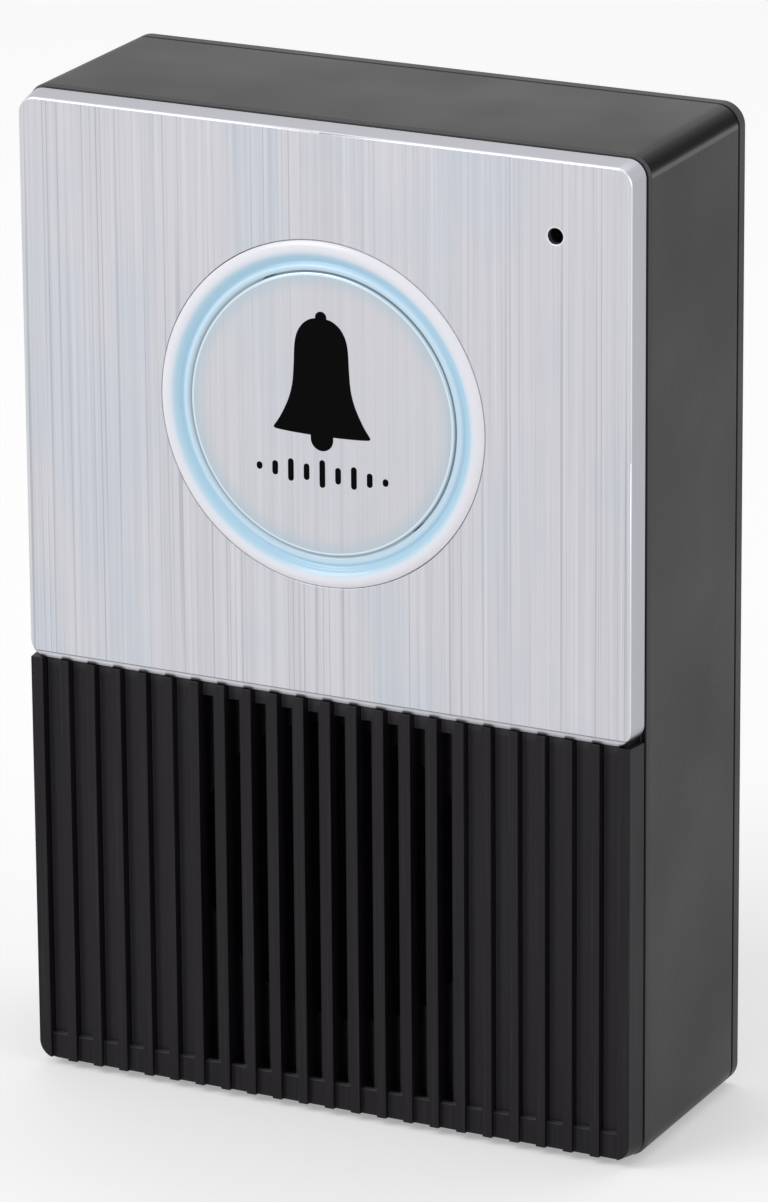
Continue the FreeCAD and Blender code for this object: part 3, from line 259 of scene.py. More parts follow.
def meshObject(name, vertices, faces):
    mesh = bpy.data.meshes.new(name)
    mesh.from_pydata(vertices.reshape(-1, 3).tolist(), [], faces)
    mesh.validate()
    shape = bmesh.new()
    shape.from_mesh(mesh)
    bmesh.ops.recalc_face_normals(shape, faces=shape.faces)
    shape.to_mesh(mesh)
    shape.free()
    return addObject(name, mesh)


def gridFaces(rows, columns, capped, first=0):
    # quads between neighbouring rows of a grid whose columns close on themselves; both end rows
    # are closed with one face, or the last row joins the first one
    row = np.arange(rows - 1 if capped else rows)[:, None]
    column = np.arange(columns)[None, :]
    here, after = row * columns, (row + 1) % rows * columns
    beside = (column + 1) % columns
    quads = np.stack([here + column, here + beside, after + beside, after + column], axis=-1)
    faces = (quads.reshape(-1, 4) + first).tolist()
    if capped:
        last = first + (rows - 1) * columns
        faces += [list(range(first, first + columns)), list(range(last, last + columns))]
    return faces


def arcPoints(middle, radius, start, end, count):
    # points on an arc, angles in degrees from the radius axis towards the depth axis
    angle = np.radians(np.linspace(start, end, count))
    across, deep = radius * np.cos(angle), radius * np.sin(angle)
    return np.stack([middle[0] + across, middle[1] + deep], axis=-1)


def smoothLine(keys, count):
    # a curve through the key points: between two of them a cubic blend whose slope at a point is
    # half the step from the point before it to the point after it
    keys = np.asarray(keys, float)
    padded = np.concatenate([2 * keys[:1] - keys[1:2], keys, 2 * keys[-1:] - keys[-2:-1]])
    place = np.linspace(0, len(keys) - 1, count)
    index = np.minimum(place.astype(int), len(keys) - 2)
    t = (place - index)[:, None]
    before, here, there, beyond = (padded[index + step] for step in range(4))
    leave = (there - before) / 2
    arrive = (beyond - here) / 2
    return (
        (2 * t ** 3 - 3 * t ** 2 + 1) * here + (t ** 3 - 2 * t ** 2 + t) * leave
        + (3 * t ** 2 - 2 * t ** 3) * there + (t ** 3 - t ** 2) * arrive
    )


def finish(piece, body, material, replaced=None):
    # shading, finish and place in the frame of a finished piece
    piece.data.shade_smooth()
    piece.data.set_sharp_from_angle(angle=math.radians(sharpAngle))
    piece.data.materials.clear()
    piece.data.materials.append(material)
    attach(piece, body)
    if replaced:
        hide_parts(replaced)


def markEdges(mesh, roundZone):
    # sharp edges are to be broken, apart from those that the CAD shape has rounded already, which
    # are found by the middle of the edge, in mm
    sharp = np.zeros(len(mesh.edges), bool)
    mesh.attributes["sharp_edge"].data.foreach_get("value", sharp)
    ends = np.zeros(len(mesh.edges) * 2, np.int32)
    mesh.edges.foreach_get("vertices", ends)
    places = np.zeros(len(mesh.vertices) * 3, np.float32)
    mesh.vertices.foreach_get("co", places)
    middle = places.reshape(-1, 3)[ends.reshape(-1, 2)].mean(axis=1) / mm
    if roundZone:
        sharp &= ~roundZone(middle)
    mesh.attributes["sharp_edge"].data.foreach_set("value", sharp)
    weight = mesh.attributes.new("bevel_weight_edge", "FLOAT", "EDGE")
    weight.data.foreach_set("value", sharp.astype(np.float32))


def dressedCopy(name, node, body, material, edge, roundZone=None):
    # a merged copy of a CAD node, its flat faces made whole, and its sharp edges broken
    mesh = nodes[node].data.copy()
    mesh.name = name
    if "custom_normal" in mesh.attributes:
        mesh.attributes.remove(mesh.attributes["custom_normal"])
    shape = bmesh.new()
    shape.from_mesh(mesh)
    bmesh.ops.remove_doubles(shape, verts=shape.verts, dist=mergeWithin * mm)
    bmesh.ops.dissolve_limit(
        shape, angle_limit=math.radians(flatAngle), use_dissolve_boundaries=False,
        verts=shape.verts, edges=shape.edges,
    )
    shape.to_mesh(mesh)
    shape.free()
    piece = addObject(name, mesh)
    finish(piece, body, material, node)
    markEdges(mesh, roundZone)
    broken = piece.modifiers.new("brokenEdges", "BEVEL")
    broken.width = edge
    broken.segments = 2
    broken.limit_method = "WEIGHT"
    broken.use_clamp_overlap = False
    broken.harden_normals = True


# Brushed, clear-anodised aluminium sheet. The belt leaves long upright scratches that draw the
# light out sideways, and the oxide over them is a little cloudy. The rounded border of the face
# gets a painted highlight and the formed sides painted shade.
aluminiumSet = {
    "roughness": (0.30, 0.42),
    "streakTints": ((0.28, "#94969D"), (0.40, "#C7C7CD"), (0.60, "#D6D6DB"), (0.74, "#EEEFF2")),
    "streakWidth": 0.20,  # mm; real grit lines are 0.05 mm, drawn as coarse as they show
    "streakLength": 55.0,
    "strandTints": ((0.35, "#BDBEC5"), (0.65, "#D6D5DA")),
    "strandWidth": 1.1,  # bundles of scratches
    "strandLength": 95.0,
    "strandShare": 0.5,
    "cloudTints": ((0.38, "#BFC8D3"), (0.50, "#CCCCD1")),  # cool patches in the oxide
    "cloudWidth": 11.0,
    "cloudLength": 34.0,
    "cloudShare": 0.45,
    "scoreTints": ((0.68, "#FFFFFF"), (0.76, "#E5E6E9")),
    "scoreWidth": 0.30,  # single deeper scratches
    "scoreLength": 150.0,
    "paintedEdgeLightTint": "#DCDDE2",  # painted highlight along the rounded border of the face
    "paintedSideShadeTint": "#B4B5BB",  # painted shade on the formed sides
    "edgeDepth": (0.05, 0.11, 0.20, 0.34),  # mm behind the face: border starts, full, ends, side
    "relief": 0.0015,
}


def brushedAluminium(name, values, marks):
    # colour: scratches over bundles of scratches over cool patches, darker along the deeper ones,
    # then a painted highlight on the border and painted shade on the sides, by their depth behind
    # the face, then the piece's marks
    material, tree, shader, place = startMaterial(name, {"Metallic": 1.0})
    layers = []
    for part, detail in (("streak", 3.0), ("strand", 2.0), ("cloud", 3.0), ("score", 0.0)):
        noise = drawnNoise(tree, place, values[part + "Width"], values[part + "Length"], detail)
        tint = addNode(tree, "ShaderNodeValToRGB", {"stops": values[part + "Tints"]}, {0: noise})
        layers.append((noise, tint.outputs[0]))
    (scratch, scratchTint), (_, strandTint), (_, cloudTint), (_, scoreTint) = layers
    brushed = addNode(tree, "ShaderNodeMix", {"data_type": "RGBA", 0: values["strandShare"]}, {
        6: scratchTint, 7: strandTint,
    })
    clouded = addNode(tree, "ShaderNodeMix", {"data_type": "RGBA", 0: values["cloudShare"]}, {
        6: brushed.outputs[2], 7: cloudTint,
    })
    scored = addNode(tree, "ShaderNodeMix", {
        "data_type": "RGBA", "blend_type": "MULTIPLY", 0: 1.0,
    }, {6: clouded.outputs[2], 7: scoreTint})
    colour = scored.outputs[2]
    depth = addNode(tree, "ShaderNodeSeparateXYZ", None, {0: place})
    front = (seamToRow + faceDepth) * mm
    starts, full, ends, side = (front + step * mm for step in values["edgeDepth"])
    # painted highlight on the border, then painted shade on the sides
    for low, high, tint in ((starts, full, "paintedEdgeLightTint"), (ends, side, "paintedSideShadeTint")):
        reach = addNode(tree, "ShaderNodeMapRange", {"From Min": low, "From Max": high}, {
            0: depth.outputs["Y"],
        })
        colour, _ = tinted(tree, colour, values[tint], [reach.outputs[0]])
    tree.links.new(marks(tree, place, colour), shader.inputs["Base Color"])
    glossAndRelief(tree, shader, scratch, values["roughness"], values["relief"])
    return material


# the fascia plate

fasciaSet = {
    "edge": 0.10,  # mm, broken edges of the holes and the lip
    "hole": (32.8, 123.5),  # mm, middle of the microphone's hole
    "rimReach": (1.14, 1.36),  # mm from that middle, where the bright rim fades
    "rimTint": "#E3E3E7",
    "fold": (58.3, 0.07),  # mm, height of the lip's fold and half the width of its painted dark reflection line
    "foldDarkReflectionTint": "#8B8D93",
    "rimSide": 42.4,  # the face's edge is rounded in the CAD shape beyond these
    "rimTop": 132.4,
    "rimDepth": 0.5,  # and up to here behind the face
}


def fasciaRim(middle):
    # true for edges of the rounded border, by the middle of the edge
    outside = (np.abs(middle[:, 0]) > fasciaSet["rimSide"]) | (middle[:, 2] > fasciaSet["rimTop"])
    return outside & (middle[:, 1] - seamToRow < faceDepth + fasciaSet["rimDepth"])


def fasciaMarks(tree, place, colour):
    # a brighter ring round the microphone's hole, by distance from its middle; along the fold over
    # the lip a painted dark reflection as a thin line, by height
    inner, outer = (reach * mm for reach in fasciaSet["rimReach"])
    rim = addNode(tree, "ShaderNodeMapRange", {
        "From Min": inner, "From Max": outer, "To Min": 1.0, "To Max": 0.0,
    }, {0: radiusFrom(tree, place, *fasciaSet["hole"])})
    height = addNode(tree, "ShaderNodeSeparateXYZ", None, {0: place})
    middle, half = (size * mm for size in fasciaSet["fold"])
    fold = addNode(tree, "ShaderNodeMath", {"operation": "COMPARE", 1: middle, 2: half}, {
        0: height.outputs["Z"],
    })
    for mark, tint in ((rim, "rimTint"), (fold, "foldDarkReflectionTint")):
        colour, _ = tinted(tree, colour, fasciaSet[tint], [mark.outputs[0]])
    return colour


fasciaMetal = brushedAluminium("brushedAnodisedAluminium", aluminiumSet, fasciaMarks)
dressedCopy(
    "fasciaPlate", "fascia_plate", "housing", fasciaMetal,
    fasciaSet["edge"] * mm, fasciaRim,
)
print("fascia plate dressed")


# the light ring

ringSet = {
    "bore": 19.0,  # mm; up to "outer", radii
    "crestEnd": 19.5,
    "valleyEnd": 20.8,
    "guideRadius": 21.2,
    "outer": 22.95,
    "valleyDepth": 0.45,
    "crownRise": 0.5,
    "crownPower": 0.75,  # fuller than a half wave
    "innerRound": 0.3,
    "seatBack": -2.85,  # depths from the seam
    "guideEnd": 4.5,
    "steps": 320,  # round the ring, then along its section
    "roundSteps": 7,
    "grooveSteps": 17,
    "crownSteps": 25,
    "roughness": 0.22,
    "glowStops": (  # radius in mm and the colour of the light there
        (19.0, "#F4FAFF"), (19.10, "#B4CFE0"), (19.7, "#C4DDEE"), (20.0, "#98C2DC"),
        (20.7, "#94BFD8"), (21.15, "#A9C9DE"), (21.5, "#BCC9D6"), (22.0, "#B2B2BC"),
        (22.95, "#A2A4AC"),
    ),
    "bodyStops": (  # and of the plastic: milky white, with the ring's blue light and a darker line at the bore painted in
        (19.0, "#B4C8D4"), (19.10, "#B8CDDA"), (19.7, "#CADFEE"), (20.0, "#B4D0E1"),
        (20.7, "#AFCDDE"), (21.15, "#BFD5E3"), (21.5, "#DDE3EC"), (22.0, "#ECEBF2"),
        (22.95, "#EDECF2"),
    ),
    "glowStrength": 0.24,
    "ripple": 3.0,  # mm, the flow of the melt
    "relief": 0.004,
}


def ringProfile(values):
    # the lens from its bore outward: rounded inner edge, flat crest, a groove that dips as a
    # cosine, the crown's swell as a power of a sine, then the outer wall and the light guide
    # behind, as one closed loop
    bore, crest, valley, outer = (values[key] for key in ("bore", "crestEnd", "valleyEnd", "outer"))
    soft = values["innerRound"]
    inner = arcPoints((bore + soft, faceDepth + soft), soft, 180, 270, values["roundSteps"])
    across = np.linspace(0, 1, values["grooveSteps"])[1:]
    dip = (1 - np.cos(across * 2 * math.pi)) / 2 * values["valleyDepth"]
    groove = np.stack([crest + (valley - crest) * across, faceDepth + dip], axis=-1)
    reach = np.linspace(0, 1, values["crownSteps"])[1:]
    swell = np.sin(reach * math.pi) ** values["crownPower"] * values["crownRise"]
    crown = np.stack([valley + (outer - valley) * reach, faceDepth - swell], axis=-1)
    behind = np.array([
        (outer, values["seatBack"]), (values["guideRadius"], values["seatBack"]),
        (values["guideRadius"], values["guideEnd"]), (bore, values["guideEnd"]),
    ])
    return np.concatenate([inner, [(crest, faceDepth)], groove, crown, behind])


def revolved(name, profile, steps, capped):
    # every profile point (radius, depth) goes round the ring's axis: x = radius sin a,
    # y = depth from the seam, z = middle of the ring + radius cos a
    angle = np.linspace(0, 2 * math.pi, steps, endpoint=False)[None, :]
    radius, depth = profile[:, 0][:, None], profile[:, 1][:, None]
    points = np.stack([
        radius * np.sin(angle), np.broadcast_to(depth + seamToRow, (len(profile), steps)),
        middleOfRing + radius * np.cos(angle),
    ], axis=-1) * mm
    return meshObject(name, points, gridFaces(len(profile), steps, capped))


# Opal acrylic, moulded milky white and lit from behind: the light spreads inside it, so the thin
# floor of the groove glows pale blue while the thick crown stays white, under a smooth gloss.
def opalAcrylic(values):
    material, tree, shader, place = startMaterial("opalAcrylic", {
        "Roughness": values["roughness"], "IOR": 1.49, "Emission Strength": values["glowStrength"],
    })
    radius = radiusFrom(tree, place, 0.0, middleOfRing)
    # the emission is the ring's own light; the base colour has that light painted in as well
    for part, socket in (("glowStops", "Emission Color"), ("bodyStops", "Base Color")):
        tree.links.new(rampAlong(tree, radius, values[part]), shader.inputs[socket])
    cloud = addNode(tree, "ShaderNodeTexNoise", {
        "Scale": 1000 / values["ripple"], "Detail": 1.0,
    }, {0: place})
    addNode(tree, "ShaderNodeBump", {"Distance": values["relief"] * mm}, {
        "Height": cloud.outputs[0],
    }, {0: shader.inputs["Normal"]})
    return material


ringPlastic = opalAcrylic(ringSet)
lightRing = revolved("lightRing", ringProfile(ringSet), ringSet["steps"], False)
finish(lightRing, "housing", ringPlastic, "light_ring")
print("light ring made")


# the brushed disc of the bell push

capSet = {
    "radius": 18.8,
    "thick": 1.0,
    "round": 0.3,
    "flat": 0.6,  # share of the radius inside which front and back are one flat face each
    "steps": 320,
    "roundSteps": 7,
    # the ring's light, painted onto the metal near its edge as a reflection
    "paintedEdgeLightTint": "#AEC2D0",
    "tintFrom": 15.8,  # mm from the middle, where the painted reflection of the ring's light starts on the metal
    "tintShare": 0.55,
    # painted highlight where the disc turns down, then painted shade in the gap
    "borderStops": (
        (18.30, "#AEC2D0"), (18.42, "#D9E6EE"), (18.54, "#D9E6EE"), (18.66, "#B3C6D1"),
    ),
}
discSet = {  # the disc is brushed finer, so its lines are fainter
    **aluminiumSet,
    "streakTints": ((0.28, "#B4B6BC"), (0.40, "#C8C8CD"), (0.60, "#D0D0D5"), (0.74, "#DFE0E3")),
    "strandTints": ((0.35, "#C6C7CC"), (0.65, "#D0D0D5")),
    "cloudShare": 0.25,
    "scoreTints": ((0.67, "#FFFFFF"), (0.75, "#F8F8F9")),
}


def capPaintedLight(tree, place, colour):
    # by distance from the ring's axis: a painted reflection of its light over the disc, then a
    # painted highlight where the disc turns down, and the painted shade of the gap
    radius = radiusFrom(tree, place, 0.0, middleOfRing)
    spill = addNode(tree, "ShaderNodeMapRange", {
        "interpolation_type": "SMOOTHERSTEP", "From Min": capSet["tintFrom"] * mm,
        "From Max": capSet["radius"] * mm, "To Max": capSet["tintShare"],
    }, {0: radius})
    colour, _ = tinted(tree, colour, capSet["paintedEdgeLightTint"], [spill.outputs[0]])
    starts = addNode(tree, "ShaderNodeMath", {
        "operation": "GREATER_THAN", 1: capSet["borderStops"][0][0] * mm,
    }, {0: radius})
    bordered = addNode(tree, "ShaderNodeMix", {"data_type": "RGBA"}, {
        0: starts.outputs[0], 6: colour, 7: rampAlong(tree, radius, capSet["borderStops"]),
    })
    return bordered.outputs[2]


def capProfile(values):
    # front face, rounded edge, side and back, from the flat middle out and back in
    edge, soft = values["radius"], values["round"]
    turn = arcPoints((edge - soft, faceDepth + soft), soft, -90, 0, values["roundSteps"])
    back = faceDepth + values["thick"]
    flat = edge * values["flat"]
    return np.concatenate([[(flat, faceDepth)], turn, [(edge, back), (flat, back)]])


capMetal = brushedAluminium("brushedAluminiumDisc", discSet, capPaintedLight)
buttonCap = revolved("buttonCap", capProfile(capSet), capSet["steps"], True)
finish(buttonCap, "push", capMetal, "button_cap")
print("bell push made")


# the black print on the push: a plain bell and a row of sound bars

printSet = {
    "tints": ((0.3, "#020203"), (0.7, "#060607")),
    "peel": 0.25,  # mm
    "relief": 0.002,
    "roughness": 0.6,
    "gloss": 0.04,
    "thick": 0.03,  # mm, from here on
    "sunk": 0.01,  # into the metal, so that no gap shows
    "footHeight": 93.45,
    "knobHeight": 15.45,
    "knobRadius": 0.8,
    "knobTurn": (-12, 88, 12),  # degrees from level, and the count of points
    "clapperRadius": 1.6,
    "clapperReach": 0.65,
    "clapperTurn": (4, 90, 10),  # degrees from the lowest point, and the count of points
    "neck": 0.01,  # its height
    "bellWidths": (  # height above the bell's foot and half its width there
        (-0.24, 2.3), (-0.16, 4.6), (-0.02, 6.45), (0.16, 6.86), (0.45, 6.78), (1.4, 6.12),
        (2.6, 5.45), (4.37, 4.66), (6.36, 4.15), (8.9, 3.93), (11.2, 3.82), (12.7, 3.56),
        (13.8, 3.06), (14.6, 2.36), (15.1, 1.56), (15.32, 0.78),
    ),
    "bellSteps": 90,
    "barHeights": (1.0, 1.9, 3.0, 2.2, 3.7, 2.2, 3.0, 1.9, 1.0),
    "barPitch": 2.25,
    "barWidth": 0.8,
    "barMiddle": 88.15,
    "barTurn": (4, 90, 6),
}


def flatMark(outline, side):
    # a thin sheet whose half width follows the height: at each height the loop runs round the
    # four corners of a bar that is that wide and as thick as the ink
    height, half = outline[:, 0][:, None], outline[:, 1][:, None]
    front = faceDepth + seamToRow - printSet["thick"]
    behind = faceDepth + seamToRow + printSet["sunk"]
    x = side + half * np.array([[-1.0, 1.0, 1.0, -1.0]])
    y = np.broadcast_to(np.array([[front, front, behind, behind]]), x.shape)
    z = np.broadcast_to(height, x.shape)
    return np.stack([x, y, z], axis=-1) * mm


def bellOutline(values):
    # clapper: a half circle and a short neck; bell: a smooth line through the widths; knob: a
    # circle
    foot, wide, knob = values["footHeight"], values["clapperRadius"], values["knobRadius"]
    low = np.radians(np.linspace(*values["clapperTurn"]))
    hung = foot - values["clapperReach"]
    clapper = np.stack([hung - wide * np.cos(low), wide * np.sin(low)], axis=-1)
    neck = np.array([(foot + values["bellWidths"][0][0] - values["neck"], wide)])
    bell = smoothLine(values["bellWidths"], values["bellSteps"]) + np.array([[foot, 0.0]])
    turn = np.radians(np.linspace(*values["knobTurn"]))
    top = foot + values["knobHeight"]
    knob = np.stack([top + knob * np.sin(turn), knob * np.cos(turn)], axis=-1)
    return np.concatenate([clapper, neck, bell, knob])


def barOutline(middle, tall, half):
    # a bar with round ends
    angle = np.radians(np.linspace(*printSet["barTurn"]))
    foot = middle - tall / 2 + half
    low = np.stack([foot - half * np.cos(angle), half * np.sin(angle)], axis=-1)
    high = np.stack([2 * middle - low[::-1, 0], low[::-1, 1]], axis=-1)
    return np.concatenate([low, high])


# Pad-printed ink, a dense matt black film: it shows hardly any gloss and a faint orange-peel.
def padInk(values):
    material, tree, shader, place = startMaterial("padPrintInk", {
        "Roughness": values["roughness"], "Specular IOR Level": values["gloss"],
    })
    peel = addNode(tree, "ShaderNodeTexNoise", {"Scale": 1000 / values["peel"], "Detail": 2.0}, {
        0: place,
    })
    tintAndRelief(tree, shader, peel.outputs[0], values)
    return material


printInk = padInk(printSet)
bellPoints = flatMark(bellOutline(printSet), 0.0)
bellMark = meshObject("bellMark", bellPoints, gridFaces(len(bellPoints), 4, True))
finish(bellMark, "push", printInk)
barPoints = []
barFaces = []
for number, tall in enumerate(printSet["barHeights"]):
    side = (number - (len(printSet["barHeights"]) - 1) / 2) * printSet["barPitch"]
    points = flatMark(barOutline(printSet["barMiddle"], tall, printSet["barWidth"] / 2), side)
    barFaces += gridFaces(len(points), 4, True, sum(len(p) * 4 for p in barPoints))
    barPoints.append(points)
soundMark = meshObject("soundMark", np.concatenate(barPoints), barFaces)
finish(soundMark, "push", printInk)
print("pad print laid on")


# the moulded shells and the white, black and ivory pieces inside

plasticSet = {  # grain and relief in mm
    "housing": {
        "tints": ("#171517", "#211F21"), "roughness": 0.42, "gloss": 0.26, "grain": 0.50,
        "relief": 0.030,
    },
    "cover": {
        "tints": ("#100B11", "#150F16"), "roughness": 0.40, "gloss": 0.21, "grain": 0.30,
        "relief": 0.008,
    },
    "carrier": {
        "tints": ("#D3D3CE", "#DFDFDA"), "roughness": 0.40, "gloss": 0.5, "grain": 0.4,
        "relief": 0.002,
    },
    "switch": {
        "tints": ("#151517", "#1D1D1F"), "roughness": 0.50, "gloss": 0.4, "grain": 0.3,
        "relief": 0.002,
    },
    "connector": {
        "tints": ("#E0DAC8", "#ECE6D6"), "roughness": 0.45, "gloss": 0.5, "grain": 0.3,
        "relief": 0.002,
    },
}
plasticPatch = {
    "grainStops": (0.35, 0.65),  # of the noise, where the two tints lie
    "size": 22.0,  # mm, worn spots of the mould
    "gloss": (-0.04, 0.06),  # change of roughness over them
    "matt": 1.0,  # roughness where a piece's marks say so
}
grilleSet = {
    "bands": {  # axis, middle of a band along it and half its width, in mm; depths from the seam
        "across": ("X", 0.0, 42.3),
        "floorDepth": ("Y", faceDepth + 1.5, 0.1),
        "ledgeDepth": ("Y", faceDepth + 1.1, 0.42),
        "ledgeHeight": ("Z", 4.2, 0.04),
    },
    "dragWidth": 0.30,  # mm, marks that the ribs' draft leaves on the way out of the mould
    "dragLength": 26.0,
    "dragStops": (0.5, 0.75),  # of the noise, where they fade in
    "firstGroove": -41.45,  # mm, its left side
    "groovePitch": 3.8295,
    "paintedFloorLight": ((0.0, "#000000"), (0.03, "#E6E6E6"), (0.42, "#000000")),  # share of the painted light on the floors along the pitch
    "lipGlow": (55.4, 57.2),  # mm, heights over which the light from the metal lip fades in
    "tints": (  # what limits a tint, its greatest share and the tint
        (("across", "floorDepth"), 0.6, "#242025"),  # painted light on the closed grooves' floors
        (("drag",), 0.7, "#272628"),
        (("across", "floorDepth", "paintedFloorLight"), 1.0, "#383539"),  # more painted light beside their left wall
        (("across", "floorDepth", "lip"), 0.75, "#4C4A4D"),
        (("across", "ledgeDepth", "ledgeHeight"), 1.0, "#515153"),  # painted light on the ledge's upward-facing edge
    ),
}
rimSet = {
    "middle": 67.0,  # mm, half the height
    "reach": (43.0, 23.0),  # mm, half the width inside the rim, and what the height has over it
    "bands": (  # mm behind the seam, half the band's width and its tint
        (0.02, 0.08, "#030303"),  # painted shade at the foot of the step
        (0.27, 0.17, "#4E4C4E"),  # painted light on the broken edge
        (27.15, 0.33, "#030303"),  # painted shade in the parting gap before the wall plate
    ),
    "corner": (41.0, 131.0, 2.8),  # mm, middle of an upper corner's round, and start of its skin
    "cornerRun": (13.7, 13.2),  # mm, depth of the middle of its painted part, and half its length
    "cornerParts": (  # tint and share along its quarter turn, from the side up to the top
        ("#565456", (  # painted highlight: a light line
            (0.0, "#000000"), (0.04, "#FFFFFF"), (0.12, "#FFFFFF"), (0.19, "#000000"),
        )),
        ("#060606", (  # painted dark reflection over it, and matt
            (0.0, "#000000"), (0.13, "#000000"), (0.26, "#FFFFFF"), (0.38, "#FFFFFF"),
            (0.72, "#000000"),
        )),
    ),
}


def grilleMarksAndPaintedLight(tree, place, colour):
    # each tint covers the product of its limits: bands along the axes, upright drag marks, the
    # place between one groove and the next, and the height under the lip; apart from the drag
    # marks, the tints are painted light; no part of it is matt
    axes = addNode(tree, "ShaderNodeSeparateXYZ", None, {0: place})
    share = {}
    for part, (axis, middle, half) in grilleSet["bands"].items():
        start = seamToRow if axis == "Y" else 0.0
        share[part] = addNode(tree, "ShaderNodeMath", {
            "operation": "COMPARE", 1: (start + middle) * mm, 2: half * mm,
        }, {0: axes.outputs[axis]}).outputs[0]
    drag = drawnNoise(tree, place, grilleSet["dragWidth"], grilleSet["dragLength"], 2.0)
    low, high = grilleSet["dragStops"]
    share["drag"] = addNode(tree, "ShaderNodeMapRange", {"From Min": low, "From Max": high}, {
        0: drag,
    }).outputs[0]
    pitch = grilleSet["groovePitch"]
    steps = addNode(tree, "ShaderNodeMath", {
        "operation": "MULTIPLY_ADD", 1: 1000 / pitch, 2: -grilleSet["firstGroove"] / pitch,
    }, {0: axes.outputs["X"]})
    between = addNode(tree, "ShaderNodeMath", {"operation": "FRACT"}, {0: steps.outputs[0]})
    share["paintedFloorLight"] = addNode(tree, "ShaderNodeValToRGB", {"stops": grilleSet["paintedFloorLight"]}, {
        0: between.outputs[0],
    }).outputs[0]
    low, high = grilleSet["lipGlow"]
    share["lip"] = addNode(tree, "ShaderNodeMapRange", {
        "interpolation_type": "SMOOTHERSTEP", "From Min": low * mm, "From Max": high * mm,
    }, {0: axes.outputs["Z"]}).outputs[0]
    for limits, most, tint in grilleSet["tints"]:
        colour, _ = tinted(tree, colour, tint, [share[limit] for limit in limits], most)
    return colour, None


def paintedCornerReflections(tree, side, axes, colour):
    # painted reflections by the angle round the middle of a corner's round, where the distance
    # from it says that the point is on the skin and the depth that it is on the painted part; the
    # last tint is the matt one
    cornerSide, cornerTop, skin = rimSet["corner"]
    across = addNode(tree, "ShaderNodeMath", {"operation": "SUBTRACT", 1: cornerSide * mm}, {
        0: side,
    })
    up = addNode(tree, "ShaderNodeMath", {"operation": "SUBTRACT", 1: cornerTop * mm}, {
        0: axes.outputs["Z"],
    })
    arm = addNode(tree, "ShaderNodeCombineXYZ", None, {"X": across.outputs[0], "Z": up.outputs[0]})
    length = addNode(tree, "ShaderNodeVectorMath", {"operation": "LENGTH"}, {0: arm.outputs[0]})
    onSkin = addNode(tree, "ShaderNodeMath", {"operation": "GREATER_THAN", 1: skin * mm}, {
        0: length.outputs["Value"],
    })
    middle, half = rimSet["cornerRun"]
    along = addNode(tree, "ShaderNodeMath", {
        "operation": "COMPARE", 1: (seamToRow + middle) * mm, 2: half * mm,
    }, {0: axes.outputs["Y"]})
    angle = addNode(tree, "ShaderNodeMath", {"operation": "ARCTAN2"}, {
        0: up.outputs[0], 1: across.outputs[0],
    })
    turn = addNode(tree, "ShaderNodeMapRange", {"From Max": math.pi / 2}, {0: angle.outputs[0]})
    for tint, stops in rimSet["cornerParts"]:
        share = addNode(tree, "ShaderNodeValToRGB", {"stops": stops}, {0: turn.outputs[0]})
        colour, matt = tinted(tree, colour, tint, [
            share.outputs[0], onSkin.outputs[0], along.outputs[0],
        ])
    return colour, matt


def paintedRimLightAndShade(tree, place, colour):
    # painted shade and painted light in bands of depth, but only where the greater of the
    # distances from the middle, across and up, says that the point is on the outer rim; then the
    # painted reflections on the upper corners
    centred = addNode(tree, "ShaderNodeMapping", {
        "Location": (0.0, 0.0, -rimSet["middle"] * mm),
    }, {0: place})
    away = addNode(tree, "ShaderNodeVectorMath", {"operation": "ABSOLUTE"}, {
        0: centred.outputs[0],
    })
    reach = addNode(tree, "ShaderNodeSeparateXYZ", None, {0: away.outputs[0]})
    halfWidth, taller = (size * mm for size in rimSet["reach"])
    height = addNode(tree, "ShaderNodeMath", {"operation": "SUBTRACT", 1: taller}, {
        0: reach.outputs["Z"],
    })
    side = addNode(tree, "ShaderNodeMath", {"operation": "MAXIMUM"}, {
        0: reach.outputs["X"], 1: height.outputs[0],
    })
    outer = addNode(tree, "ShaderNodeMath", {"operation": "GREATER_THAN", 1: halfWidth}, {
        0: side.outputs[0],
    })
    axes = addNode(tree, "ShaderNodeSeparateXYZ", None, {0: place})
    for middle, half, tint in rimSet["bands"]:
        band = addNode(tree, "ShaderNodeMath", {
            "operation": "COMPARE", 1: (seamToRow + middle) * mm, 2: half * mm,
        }, {0: axes.outputs["Y"]})
        colour, _ = tinted(tree, colour, tint, [band.outputs[0], outer.outputs[0]])
    return paintedCornerReflections(tree, reach.outputs["X"], axes, colour)


